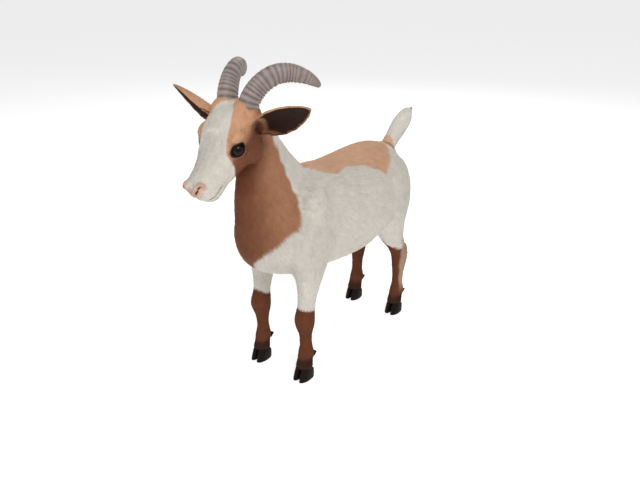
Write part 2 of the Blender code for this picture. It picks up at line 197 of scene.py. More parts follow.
lightPlan = {
    "world": 0.44,
    "lamps": {   # place, aim, size, power, colour
        "key": ((2.1, -1.2, 2.8), (0, 0.1, 0.4), 1.6, 66, (1.0, 0.985, 0.96)),
        "fill": ((-2.3, -1.6, 1.6), (0, 0.1, 0.4), 2.2, 17, (0.96, 0.98, 1.0)),
        "rim": ((-1.2, 2.6, 2.2), (0, 0.2, 0.4), 1.6, 26, (1.0, 1.0, 1.0)),
    },
}
world = bpy.data.worlds.new("studio")
bpy.context.scene.world = world
world.use_nodes = True
world.node_tree.nodes["Background"].inputs["Color"].default_value = (1, 1, 1, 1)
world.node_tree.nodes["Background"].inputs["Strength"].default_value = lightPlan["world"]
for name, (spot, aim, size, power, colour) in lightPlan["lamps"].items():
    lamp = link(name, bpy.data.lights.new(name, "AREA"))
    lamp.data.shape = "DISK"
    lamp.data.size = size
    lamp.data.energy = power
    lamp.data.color = colour
    aimAt(lamp, place(*spot), place(*aim) - place(*spot))
bpy.context.scene.view_settings.view_transform = "Standard"


# materials
class Surface:
    def __init__(self, name, **values):
        self.material = bpy.data.materials.new(name)
        self.material.use_nodes = True
        self.tree = self.material.node_tree
        self.finish(**values)
        self.place = self.node("TexCoord").outputs["Object"]

    def fill(self, node, inputs):
        # inputs maps a socket's name or number to a value or to another node's output
        for key, value in inputs.items():
            if isinstance(value, bpy.types.NodeSocket):
                self.tree.links.new(value, node.inputs[key])
            else:
                node.inputs[key].default_value = value

    def finish(self, **inputs):
        self.fill(self.tree.nodes["Principled BSDF"], {key.replace("_", " "): inputs[key] for key in inputs})

    def node(self, kind, inputs={}, **settings):
        made = self.tree.nodes.new("ShaderNode" + kind)
        for key, value in settings.items():
            setattr(made, key, value)
        self.fill(made, inputs)
        return made

    def value(self, name, kind="Fac"):
        return self.node("Attribute", attribute_name=name).outputs[kind]

    def noise(self, scale, detail=3.0, roughness=0.5, stretch=(1, 1, 1), vector=None):
        vector = self.place if vector is None else vector
        spread = self.node("Mapping", {"Vector": vector, "Scale": stretch}).outputs[0]
        return self.node("TexNoise", {"Vector": spread, "Scale": scale, "Detail": detail,
                                      "Roughness": roughness}).outputs["Fac"]

    def math(self, kind, *values):
        return self.node("Math", dict(enumerate(values)), operation=kind).outputs[0]

    def total(self, start, *terms):
        # start and the product of each pair
        for first, second in terms:
            start = self.math("MULTIPLY_ADD", first, second, start)
        return start

    def ramp(self, source, *stops):
        made = self.node("ValToRGB", {"Fac": source})
        for where, colour in stops[1:-1]:
            made.color_ramp.elements.new(where)
        for stop, (where, colour) in zip(made.color_ramp.elements, stops):
            stop.position = where
            stop.color = (*colour, 1)
        return made.outputs["Color"]

    def tinted(self, first, second):
        return self.node("Mix", {0: 1.0, 6: first, 7: second}, data_type="RGBA",
                         blend_type="MULTIPLY").outputs[2]

    def bump(self, height, strength, distance):
        return self.node("Bump", {"Height": height, "Strength": strength, "Distance": distance}).outputs[0]


surface = Surface("pale_floor", Base_Color=(0.86, 0.86, 0.86, 1), Roughness=0.9,
                  Emission_Color=(1, 1, 1, 1), Emission_Strength=0.46)
floorShape = bmesh.new()
bmesh.ops.create_circle(floorShape, cap_ends=True, segments=96, radius=40)
newPiece("floor", floorShape, surface.material)
print("camera, floor and light are set")

# the skin: the flesh melted together and smoothed, then drawn in by the depth of the coat
skinPlan = {
    "headVoxel": 0.0023,
    "bodyVoxel": 0.0050,
    "swell": 0.0004,             # closes the thin cuts between the nodes
    "earSwell": 0.0009,          # keeps the thin edges of the ears whole
    "earRoot": ((0.054, 0.064), (-0.142, -0.136), (0.60, 0.63)),   # x, y and z over which an ear begins
    "neckCut": (-0.067, 0.520),  # y and z where the fine head skin meets the body skin
    "neckAim": (0.765, -0.645),
    "joinWidth": 0.0045,
    "finer": (                   # place in the head and radius of a finer mesh
        ((0.085, -0.036, 0.046), 0.025), ((0.085, -0.036, -0.046), 0.025), ((0.180, -0.043, 0.0), 0.037),
        ((0.085, -0.036, 0.052), 0.0195), ((0.085, -0.036, -0.052), 0.0195), ((0.191, -0.026, 0.0), 0.020)),
}
headNodes = ["head", "ear_left", "ear_right", "eye_left", "eye_right"]
legNodes = ["foreleg_left", "foreleg_right", "hindleg_left", "hindleg_right"]


def earShare(spots):
    # 1 on the ears, 0 on the head
    x, y, z = skinPlan["earRoot"]
    return step(np.abs(spots[:, 0]), *x) * step(spots[:, 2], *z) * step(spots[:, 1] - standY, *y)


def meltedCopy(names, voxel):
    bm = bmesh.new()
    for name in names:
        bm.from_mesh(nodes[name].data)
    bmesh.ops.remove_doubles(bm, verts=bm.verts, dist=0.00002)
    bm.normal_update()
    onEar = earShare(np.array([vert.co for vert in bm.verts]))
    swell = skinPlan["swell"] + (skinPlan["earSwell"] - skinPlan["swell"]) * onEar
    for vert, reach in zip(bm.verts, swell):
        vert.co += vert.normal * float(reach)
    piece = newPiece("melt", bm)
    melt = piece.modifiers.new("melt", "REMESH")
    melt.mode = "VOXEL"
    melt.voxel_size = voxel
    bpy.context.view_layer.update()
    melted = bpy.data.meshes.new_from_object(piece.evaluated_get(bpy.context.evaluated_depsgraph_get()))
    bpy.data.objects.remove(piece)
    return melted


def cutAtNeck(mesh, shift, keepHead):
    aim = Vector((0, *skinPlan["neckAim"])).normalized()
    bm = bmesh.new()
    bm.from_mesh(mesh)
    bmesh.ops.bisect_plane(bm, geom=bm.verts[:] + bm.edges[:] + bm.faces[:], plane_no=aim,
                           plane_co=place(0, *skinPlan["neckCut"]) + aim * shift, clear_outer=keepHead,
                           clear_inner=not keepHead)
    bm.to_mesh(mesh)
    bm.free()


headPart = meltedCopy(headNodes + ["neck"], skinPlan["headVoxel"])
onEar = earShare(spotsOf(headPart))
relax(headPart, 7, 0.9 - 0.2 * onEar)
relax(headPart, 4, 0.8 * onEar, 0.30)
bodyPart = meltedCopy(["neck", "trunk", "tail"] + legNodes, skinPlan["bodyVoxel"])
relax(bodyPart, 9, 1.0 - 0.75 * (1 - step(spotsOf(bodyPart)[:, 2], 0.20, 0.28)))   # less on the thin legs
print("head", len(headPart.vertices), "body", len(bodyPart.vertices))
cutAtNeck(headPart, -skinPlan["joinWidth"] / 2, True)
cutAtNeck(bodyPart, skinPlan["joinWidth"] / 2, False)
bm = bmesh.new()
for part in (headPart, bodyPart):
    bm.from_mesh(part)
    bpy.data.meshes.remove(part)
bridged = bmesh.ops.bridge_loops(bm, edges=[edge for edge in bm.edges if edge.is_boundary])
print("joined the head skin to the body skin with", len(bridged["faces"]), "faces;",
      sum(edge.is_boundary for edge in bm.edges), "open edges")
for spot, reach in skinPlan["finer"]:
    centre = inHead(*spot)
    near = [face for face in bm.faces if (face.calc_center_median() - centre).length < reach]
    edges = list(dict.fromkeys(edge for face in near for edge in face.edges))   # in the same order each run
    bmesh.ops.subdivide_edges(bm, edges=edges, cuts=1, use_grid_fill=True)
bmesh.ops.triangulate(bm, faces=[face for face in bm.faces if len(face.verts) > 4])
bmesh.ops.recalc_face_normals(bm, faces=bm.faces)
skin = newPiece("skin", bm)
spots = spotsOf(skin.data)
along, out, across = headPlaces(spots)
reachBack = (spots - np.array(place(0, *skinPlan["neckCut"]))) @ np.array((0, *skinPlan["neckAim"]))
onFace = (along > 0.05) & (along < 0.22) & (out > -0.12) & (np.abs(across) < 0.07)
nearNeck = np.linalg.norm(spots - np.array(place(0, -0.06, 0.53)), axis=1) < 0.16
relax(skin.data, 3, np.maximum(bell(reachBack, 0.012) * nearNeck, 0.6 * onFace))
print("skin melted:", len(skin.data.vertices), "vertices")

# the lie and the depth of the coat, from places with names
# place x, y, z | lie x, y, z | depth of the coat, length and width of a tuft in mm
bodyGuides = {
    "nape": ((0, 0.01, 0.6), (0, 0.62, -0.78), 2.9, 16, 2.0),
    "crest": ((0, 0.05, 0.552), (0, 0.78, -0.62), 3.1, 17, 2.1),
    "neckUpperSide": ((0.045, -0.075, 0.56), (0.05, 0.45, -0.88), 2.3, 13, 1.8),
    "neckSide": ((0.052, -0.045, 0.5), (0.08, 0.42, -0.9), 2.7, 15, 2.0),
    "neckLowSide": ((0.07, -0.01, 0.455), (0.12, 0.4, -0.9), 3.1, 17, 2.1),
    "throatTop": ((0, -0.112, 0.556), (0, 0, -1), 2.4, 12, 1.8),
    "throatTopSide": ((0.032, -0.098, 0.562), (0.05, 0.25, -1), 2.4, 12, 1.8),
    "throat": ((0, -0.14, 0.49), (0, 0.06, -1), 2.6, 14, 1.9),
    "neckFront": ((0, -0.138, 0.44), (0, 0.02, -1), 3.1, 17, 2.0),
    "chest": ((0, -0.115, 0.37), (0, 0.18, -1), 3.3, 19, 2.2),
    "chestSide": ((0.06, -0.08, 0.37), (0.15, 0.35, -0.92), 3.2, 17, 2.1),
    "brisket": ((0, -0.05, 0.305), (0, 0.75, -0.6), 3.2, 18, 2.2),
    "withers": ((0, 0.11, 0.51), (0, 1, -0.1), 3.1, 17, 2.2),
    "withersSide": ((0.06, 0.11, 0.49), (0.35, 0.8, -0.5), 3.1, 17, 2.2),
    "shoulder": ((0.1, 0.04, 0.44), (0.05, 0.55, -0.83), 3.1, 17, 2.1),
    "upperArm": ((0.105, 0.01, 0.34), (0, 0.35, -0.94), 2.7, 15, 2.0),
    "armPit": ((0.07, 0.08, 0.28), (0.1, 0.6, -0.7), 2.6, 15, 2.0),
    "back": ((0, 0.25, 0.516), (0, 1, 0), 3.1, 17, 2.2),
    "backSide": ((0.08, 0.23, 0.48), (0.28, 0.88, -0.4), 3.1, 17, 2.2),
    "loin": ((0.05, 0.33, 0.505), (0.2, 0.95, -0.15), 3.1, 17, 2.2),
    "rib": ((0.118, 0.18, 0.41), (0, 0.8, -0.6), 3.2, 18, 2.2),
    "lowRib": ((0.105, 0.17, 0.32), (-0.2, 0.82, -0.54), 3.3, 19, 2.2),
    "flank": ((0.108, 0.3, 0.39), (0, 0.75, -0.66), 3.2, 18, 2.2),
    "belly": ((0, 0.18, 0.255), (0, 1, -0.05), 3.3, 20, 2.3),
    "bellySide": ((0.07, 0.2, 0.275), (-0.15, 0.92, -0.35), 3.5, 20, 2.3),
    "groin": ((0, 0.33, 0.3), (0, 0.9, -0.3), 2.6, 15, 2.1),
    "croup": ((0, 0.393, 0.503), (0, 0.95, -0.28), 3.1, 17, 2.1),
    "hip": ((0.08, 0.38, 0.46), (0.15, 0.75, -0.64), 3.1, 17, 2.1),
    "rump": ((0.07, 0.44, 0.415), (0.08, 0.45, -0.89), 3.1, 17, 2.1),
    "buttock": ((0.045, 0.465, 0.37), (0, 0.05, -1), 3.2, 18, 2.1),
    "underTail": ((0, 0.44, 0.42), (0, 0.05, -1), 1.9, 11, 1.9),
    "thigh": ((0.1, 0.37, 0.33), (0, 0.4, -0.92), 2.9, 16, 2.0),
    "thighFront": ((0.09, 0.31, 0.3), (0, 0.45, -0.89), 2.9, 16, 2.0),
    "thighRear": ((0.07, 0.45, 0.3), (0, 0.1, -1), 2.9, 16, 2.0),
    "innerThigh": ((0.035, 0.39, 0.29), (0, 0.25, -0.97), 2.0, 12, 1.9),
    "gaskin": ((0.085, 0.395, 0.24), (0, 0.25, -0.97), 1.9, 11, 1.7),
    "hockPoint": ((0.073, 0.455, 0.19), (0, -0.1, -1), 1.9, 9, 1.5),
    "hockFront": ((0.073, 0.41, 0.16), (0, 0.1, -1), 1.4, 7, 1.4),
    "shankHind": ((0.073, 0.43, 0.11), (0, -0.05, -1), 1.4, 6.5, 1.3),
    "pasternHind": ((0.073, 0.415, 0.05), (0, -0.2, -0.98), 1.2, 8.0, 1.2),
    "elbow": ((0.085, 0.05, 0.28), (0, 0.3, -0.95), 2.6, 14, 1.9),
    "forearm": ((0.075, 0.000, 0.235), (0, 0.1, -1), 1.8, 10, 1.6),
    "knee": ((0.072, -0.01, 0.165), (0, 0.02, -1), 1.4, 7, 1.4),
    "shankFore": ((0.071, 0.002, 0.1), (0, 0.02, -1), 1.3, 6, 1.3),
    "pasternFore": ((0.071, 0.002, 0.05), (0, -0.2, -0.98), 1.2, 8.0, 1.2),
    "tailRoot": ((0, 0.44, 0.478), (0, 0.76, 0.65), 2.6, 15, 2.0),
    "tailMiddle": ((0, 0.495, 0.525), (0, 0.74, 0.67), 3.2, 21, 2.1),
    "tailEnd": ((0, 0.55, 0.558), (0, 0.86, 0.5), 3.2, 20, 1.9),
    "earBack": ((0.06, -0.1, 0.665), (1, -0.04, 0.44), 1.0, 7.5, 1.4),
    "earMiddle": ((0.11, -0.105, 0.685), (1, -0.06, 0.32), 0.9, 7.5, 1.4),
    "earTip": ((0.175, -0.11, 0.703), (1, -0.08, 0.2), 0.7, 6.5, 1.3),
}
# the same for the head: along, out, across | lie along, out, across
headGuides = {
    "pollTop": ((-0.004, -0.004, 0), (-0.55, -0.84, 0), 3.0, 12, 1.6),
    "forelock": ((0.028, 0.006, 0), (-0.95, 0.3, 0), 3.0, 12, 1.5),
    "brow": ((0.058, 0.007, 0), (-1, 0.05, 0), 2.4, 8, 1.3),
    "browLow": ((0.088, -0.002, 0), (1, -0.05, 0), 2.0, 6.5, 1.2),
    "bridge": ((0.13, -0.013, 0), (1, 0, 0), 1.6, 5.5, 1.1),
    "noseTop": ((0.176, -0.015, 0), (1, 0, 0), 1.0, 4.0, 0.9),
    "noseSide": ((0.16, -0.035, 0.031), (0.75, -0.62, 0), 1.2, 4.5, 1.0),
    "lip": ((0.182, -0.048, 0.023), (0.6, -0.75, 0), 0.8, 3.4, 0.8),
    "chin": ((0.174, -0.078, 0), (-0.9, -0.3, 0), 1.4, 6.5, 1.1),
    "underJaw": ((0.12, -0.092, 0), (-1, 0, 0), 2.2, 8, 1.4),
    "gullet": ((0.05, -0.103, 0), (-0.95, -0.05, 0), 2.6, 9, 1.6),
    "jaw": ((0.1, -0.086, 0.034), (-0.75, -0.65, 0), 2.0, 8, 1.4),
    "cheek": ((0.105, -0.06, 0.043), (-0.2, -0.95, 0.1), 1.7, 6.5, 1.2),
    "cheekRear": ((0.05, -0.075, 0.051), (-0.55, -0.85, 0), 2.6, 9.5, 1.5),
    "temple": ((0.045, -0.025, 0.052), (-0.95, -0.25, 0.1), 2.0, 7.5, 1.3),
    "eyeFront": ((0.112, -0.036, 0.038), (0.8, -0.58, 0), 1.4, 5.0, 1.0),
    "eyeAbove": ((0.074, -0.012, 0.043), (-0.7, 0.1, 0.6), 1.5, 5.5, 1.1),
    "eyeBelow": ((0.092, -0.06, 0.048), (-0.2, -0.98, 0), 1.4, 5.5, 1.1),
    "eyeBehind": ((0.06, -0.04, 0.053), (-0.85, -0.5, 0), 1.6, 6.0, 1.1),
    "earRoot": ((0.012, -0.034, 0.055), (-0.2, 0.1, 0.97), 2.2, 9, 1.5),
    "hornRoot": ((0.016, 0.004, 0.026), (-0.9, 0.35, 0.2), 2.4, 9, 1.4),
}


def gatherGuides():
    rows = [(np.array(place(*spot)), unit(np.array(lie, float)), sizes)
            for spot, lie, *sizes in bodyGuides.values()]
    for spot, lie, *sizes in headGuides.values():
        aim = np.array(alongHead) * lie[0] + np.array(outOfBrow) * lie[1] + np.array((lie[2], 0, 0))
        rows.append((np.array(inHead(*spot)), unit(aim), sizes))
    mirror = np.array((-1, 1, 1))
    rows += [(spot * mirror, lie * mirror, sizes) for spot, lie, sizes in rows if spot[0] > 0]
    return np.array([row[0] for row in rows]), np.array([[*lie, *sizes] for spot, lie, sizes in rows])


guideSpots, guideValues = gatherGuides()


def coatAt(spots):
    # lie, depth, length and width at each spot, from the guides nearest to it
    found = np.empty((len(spots), guideValues.shape[1]))
    for start in range(0, len(spots), 20000):
        part = spots[start:start + 20000]
        apart = ((part[:, None] - guideSpots[None]) ** 2).sum(2)
        weight = 1 / (apart + 0.010 ** 2) ** 2.5
        found[start:start + 20000] = weight @ guideValues / weight.sum(1)[:, None]
    return unit(found[:, :3]), *found[:, 3:].T / 1000


spots, normals = spotsOf(skin.data), normalsOf(skin.data)
setSpots(skin.data, spots - normals * coatAt(spots)[1][:, None])

# folds, lips and nostrils: paths in the head frame, then radius and height in metres
headFolds = {
    "mouth": (((0.1985, -0.049, 0), (0.195, -0.052, 0.0125), (0.186, -0.0555, 0.0235),
               (0.172, -0.058, 0.0305), (0.156, -0.056, 0.0355)), 0.0021, -0.0042),
    "upperLip": (((0.196, -0.043, 0.01), (0.187, -0.047, 0.0255), (0.17, -0.05, 0.0325)),
                 0.0048, 0.0012),
    "lowerLip": (((0.193, -0.06, 0.007), (0.184, -0.0645, 0.019), (0.166, -0.0675, 0.028)),
                 0.0045, 0.0013),
    "philtrum": (((0.1975, -0.03, 0), (0.2, -0.046, 0)), 0.0014, -0.002),
    "nostril": (((0.197, -0.031, 0.007), (0.1945, -0.025, 0.0112), (0.189, -0.0205, 0.0172),
                 (0.1825, -0.0205, 0.0225)), 0.0019, -0.0064),
    "nostrilWing": (((0.196, -0.025, 0.005), (0.1915, -0.018, 0.0122), (0.184, -0.0155, 0.0205)),
                    0.0036, 0.0012),
    "tearTrough": (((0.108, -0.044, 0.043), (0.126, -0.049, 0.038)), 0.005, -0.0016),
    "cheekbone": (((0.11, -0.06, 0.045), (0.086, -0.066, 0.053), (0.06, -0.061, 0.055)),
                  0.007, 0.0014),
    "temple": (((0.054, -0.028, 0.053), (0.038, -0.026, 0.053)), 0.0085, -0.0018),
    "noseSide": (((0.125, -0.03, 0.039), (0.162, -0.03, 0.034)), 0.008, -0.0012),
    "chinGroove": (((0.152, -0.078, 0.024), (0.142, -0.083, 0.027)), 0.006, -0.0014),
}
# the same for the body, with places from side to side, along and up
bodyFolds = {
    "shoulderBlade": (((0.058, 0.08, 0.49), (0.085, 0.04, 0.44), (0.098, -0.01, 0.385)), 0.015, 0.0024),
    "behindShoulder": (((0.08, 0.125, 0.46), (0.1, 0.1, 0.39), (0.1, 0.088, 0.32)), 0.017, -0.003),
    "shoulderNeck": (((0.062, -0.01, 0.49), (0.075, -0.052, 0.43), (0.07, -0.08, 0.37)), 0.013, -0.0022),
    "jugular": (((0.04, -0.1, 0.56), (0.048, -0.098, 0.48), (0.05, -0.1, 0.42)), 0.011, -0.002),
    "elbow": (((0.098, 0.062, 0.3), (0.096, 0.058, 0.29)), 0.011, 0.0024),
    "flank": (((0.098, 0.318, 0.445), (0.102, 0.3, 0.41)), 0.024, -0.0042),
    "hipBone": (((0.074, 0.352, 0.482), (0.08, 0.362, 0.47)), 0.013, 0.003),
    "thighFront": (((0.1, 0.345, 0.42), (0.104, 0.322, 0.35), (0.096, 0.322, 0.3)), 0.015, 0.002),
    "thighRear": (((0.072, 0.44, 0.42), (0.078, 0.432, 0.33)), 0.012, -0.002),
    "gaskin": (((0.098, 0.395, 0.262), (0.092, 0.42, 0.225)), 0.011, -0.0018),
    "foreTendon": (((0.09, 0.014, 0.14), (0.088, 0.014, 0.082)), 0.0042, -0.0013),
    "hindTendon": (((0.09, 0.434, 0.15), (0.088, 0.434, 0.082)), 0.0042, -0.0013),
    "kneeEdge": (((0.088, -0.012, 0.182), (0.088, -0.012, 0.146)), 0.005, 0.0008),
    "hockHollow": (((0.09, 0.44, 0.215), (0.088, 0.44, 0.195)), 0.007, -0.0018),
}
folds = {name: ([inHead(*spot) for spot in path], *sizes) for name, (path, *sizes) in headFolds.items()}
folds |= {name: ([place(*spot) for spot in path], *sizes) for name, (path, *sizes) in bodyFolds.items()}


def treeOf(piece):
    bpy.context.view_layer.update()
    return BVHTree.FromObject(piece, bpy.context.evaluated_depsgraph_get())


def foldLine(tree, path, side):
    # the path laid on the skin, in short stretches
    path = [Vector((side * spot.x, spot.y, spot.z)) for spot in path]
    line = [tree.find_nearest(start.lerp(end, share / 4)) for start, end in zip(path[:-1], path[1:])
            for share in range(4)] + [tree.find_nearest(path[-1])]
    return np.array([found[0] for found in line]), np.array([found[1] for found in line])


skinTree = treeOf(skin)
spots, normals = spotsOf(skin.data), normalsOf(skin.data)
lift, pit = np.zeros(len(spots)), np.zeros(len(spots))
foldLines = {}
for name, (path, radius, height) in folds.items():
    for side in (1, -1):
        line, upwards = foldLine(skinTree, path, side)
        foldLines[name, side] = line + upwards * height / 2      # half way down the fold
        near = np.abs(spots - np.mean(line, 0)).max(1) < 0.12
        shape = bell(lineDistance(spots[near], line), radius)
        if name in ("mouth", "nostril"):
            shape *= 1 - 0.7 * bell(np.linalg.norm(spots[near] - line[-1], axis=1), 3 * radius)
            pit[near] = np.maximum(pit[near], shape ** (0.65 if name == "mouth" else 1))
        lift[near] += height * shape * (0.5 if name == "philtrum" else 1)
addNumber(skin.data, "pit", pit)
setSpots(skin.data, spots + normals * lift[:, None])
relax(skin.data, 1, 0.5 * onFace)
relax(skin.data, 12, 0.9 * earShare(spotsOf(skin.data)), 0.44)

# the lids, which close on the eyeball all round
eyePlan = {
    "centre": (0.083, -0.036, 0.0420),
    "look": (0.36, 0.40, 0.82),    # along, out of the brow and to the side
    "ball": 0.0165,
    "slitLean": 0.20,              # how far the rear corner is raised
    "halfLength": 0.0158,
    "upper": 0.0117,
    "lower": 0.0105,
    "lidThick": 0.0016,
    "lidReach": 2.1,               # how far the lid's swelling runs, in half openings
    "crease": (1.62, 0.13, -0.0009),   # where, how wide and how high
    "corner": 0.45,                # how pointed the corners are
    # share of the opening and height above the ball of the rings inside the lid's edge
    "lidRings": ((0.985, 0.0013), (0.955, 0.0007), (0.930, 0.0002), (0.940, -0.0012)),
    "bar": 0.115,                  # half length of the level pupil, as a share of the ball's width
    "bulge": 0.055,                # of the clear front
    "bulgeReach": 0.62,            # radians from the middle of the eye
}


def eyeFrame(side):
    along, out, across = eyePlan["centre"]
    ahead, upwards, sideways = eyePlan["look"]
    look = (Vector((side * sideways, 0, 0)) + alongHead * ahead + outOfBrow * upwards).normalized()
    slit = alongHead + outOfBrow * eyePlan["slitLean"]
    slit = (slit - look * slit.dot(look)).normalized()
    return inHead(along, out, side * across), look, slit, slit.cross(look) * side


def inEye(spots, side):
    centre, look, slit, up = (np.array(part) for part in eyeFrame(side))
    apart = spots - centre
    return apart @ slit, apart @ up, apart @ look


def lidShare(forth, up):
    # 1 on the edge of the opening, less inside it
    half = np.where(up > 0, eyePlan["upper"], eyePlan["lower"])
    turn = np.arctan2(up / half, forth / eyePlan["halfLength"])
    edge = np.hypot(np.cos(turn), np.sin(turn) * np.abs(np.sin(turn)) ** eyePlan["corner"])
    return np.hypot(up / half, forth / eyePlan["halfLength"]) / edge, turn


def lidSpot(side, turn, share, radius):
    # a point over the eyeball, at a share of the opening and a distance from the ball's centre
    centre, look, slit, up = eyeFrame(side)
    half = eyePlan["upper"] if math.sin(turn) > 0 else eyePlan["lower"]
    forth = eyePlan["halfLength"] * math.cos(turn) * share
    rise = half * math.sin(turn) * abs(math.sin(turn)) ** eyePlan["corner"] * share
    return centre + slit * forth + up * rise + look * math.sqrt(radius ** 2 - forth ** 2 - rise ** 2)


bm = bmesh.new()
bm.from_mesh(skin.data)
for word, side in sides:
    bm.verts.ensure_lookup_table()
    spots = np.array([vert.co for vert in bm.verts])
    forth, rise, ahead = inEye(spots, side)
    share = lidShare(forth, rise)[0]
    inFront = (ahead > 0.004) & (share < 2.6)
    distance = np.sqrt(forth ** 2 + rise ** 2 + ahead ** 2)
    pull = (1 - step(share, 1.0, eyePlan["lidReach"])) * inFront
    where, width, height = eyePlan["crease"]
    target = distance + (eyePlan["ball"] + eyePlan["lidThick"] - distance) * pull
    target += height * bell(share - where, width) * inFront
    centre = np.array(eyeFrame(side)[0])
    for index in np.nonzero(inFront)[0]:
        bm.verts[index].co = Vector(centre + (spots[index] - centre) * (target[index] / distance[index]))
    inside = {bm.verts[index] for index in np.nonzero((share < 1.0) & inFront)[0]}
    gone = [face for face in bm.faces if any(vert in inside for vert in face.verts)]
    bmesh.ops.delete(bm, geom=gone, context="FACES")
    rim = [edge for edge in bm.edges if edge.is_boundary]
    for depth, (ring, above) in enumerate(((1.0, eyePlan["lidThick"]), *eyePlan["lidRings"])):
        if depth:
            grown = bmesh.ops.extrude_edge_only(bm, edges=rim)["geom"]
            rim = [edge for edge in grown if isinstance(edge, bmesh.types.BMEdge) and edge.is_boundary]
        for vert in dict.fromkeys(vert for edge in rim for vert in edge.verts):
            forth, rise, ahead = inEye(np.array([vert.co]), side)
            vert.co = lidSpot(side, float(lidShare(forth, rise)[1][0]), ring, eyePlan["ball"] + above)
    bmesh.ops.holes_fill(bm, edges=rim)
    print("lids of the", word, "eye:", len(rim), "around")
bmesh.ops.triangulate(bm, faces=bm.faces)
bmesh.ops.recalc_face_normals(bm, faces=bm.faces)
bm.to_mesh(skin.data)
bm.free()
# extruding leaves the faces in another order each run, so they are put in one order
skinMesh = skin.data
skinFaces = read(skinMesh.polygons, "vertices", 3, np.int32)
skinFaces = skinFaces[np.lexsort(np.sort(skinFaces, 1).T[::-1])]
skinFaces = np.take_along_axis(skinFaces, (skinFaces.argmin(1)[:, None] + np.arange(3)) % 3, 1)
spots, pit = spotsOf(skinMesh), read(skinMesh.attributes["pit"].data, "value", 1)[:, 0]
skinMesh.clear_geometry()
skinMesh.from_pydata(spots.tolist(), [], skinFaces.tolist())
skinMesh.update()
print("skin:", len(skinFaces), "triangles")


# markings, with painted shade and painted light on the brown, the same for skin and coat
coatColours = {
    "white": (0.76, 0.72, 0.65),
    "tan": (0.73, 0.445, 0.290),
    # brow: a lighter brown, painted light on the upper side of the head
    "brow": (0.72, 0.400, 0.240),
    "brown": (0.46, 0.225, 0.127),
    # the brown in painted shade, for the cheeks, the front of the neck and the knees
    "paintedShadeBrown": (0.165, 0.053, 0.025),
    "stocking": (0.150, 0.046, 0.020),
    "strip": (0.54, 0.365, 0.25),
    "pastern": (0.032, 0.014, 0.009),
    "earInsideShaded": (0.028, 0.010, 0.006),
    "nosePink": (0.54, 0.300, 0.195),
    "dark": (0.016, 0.009, 0.007),
}
coatColours = {name: np.array(colour) for name, colour in coatColours.items()}
markingPlan = {
    # y and z of the brown on head and neck, seen from the side
    "brownLoop": ((-0.112, 0.720), (-0.080, 0.700), (-0.070, 0.655), (-0.054, 0.610), (-0.032, 0.560),
                  (0.004, 0.475), (-0.018, 0.420), (-0.048, 0.374), (-0.064, 0.316), (-0.300, 0.300),
                  (-0.300, 0.720)),
    "bibPoint": 0.318,       # height of the point of the brown on the chest
    "bibSlope": 1.05,
    "blaze": ((-0.02, 0.000), (0.000, 0.013), (0.010, 0.020), (0.025, 0.029), (0.050, 0.0335),
              (0.085, 0.0355), (0.110, 0.0400)),
    "muzzleLine": ((0.104, -0.028), (0.128, -0.085)),     # along and out, where the white muzzle begins
    # y and the girth from the spine of the saddle on the back
    "saddle": ((-0.02, -0.02), (0.030, 0.010), (0.085, 0.026), (0.115, 0.066), (0.147, 0.078), (0.200, 0.074),
               (0.253, 0.094), (0.312, 0.156), (0.345, 0.122), (0.401, 0.050), (0.425, -0.02)),
    "spineHeight": 0.517,
    "foreStocking": 0.194,
    "hindStocking": 0.218,
    "tailTan": 0.462,        # y where the tan of the tail's root ends
    "earOpening": (0.18, -0.74, -0.62),   # which way the inside of an ear looks
}


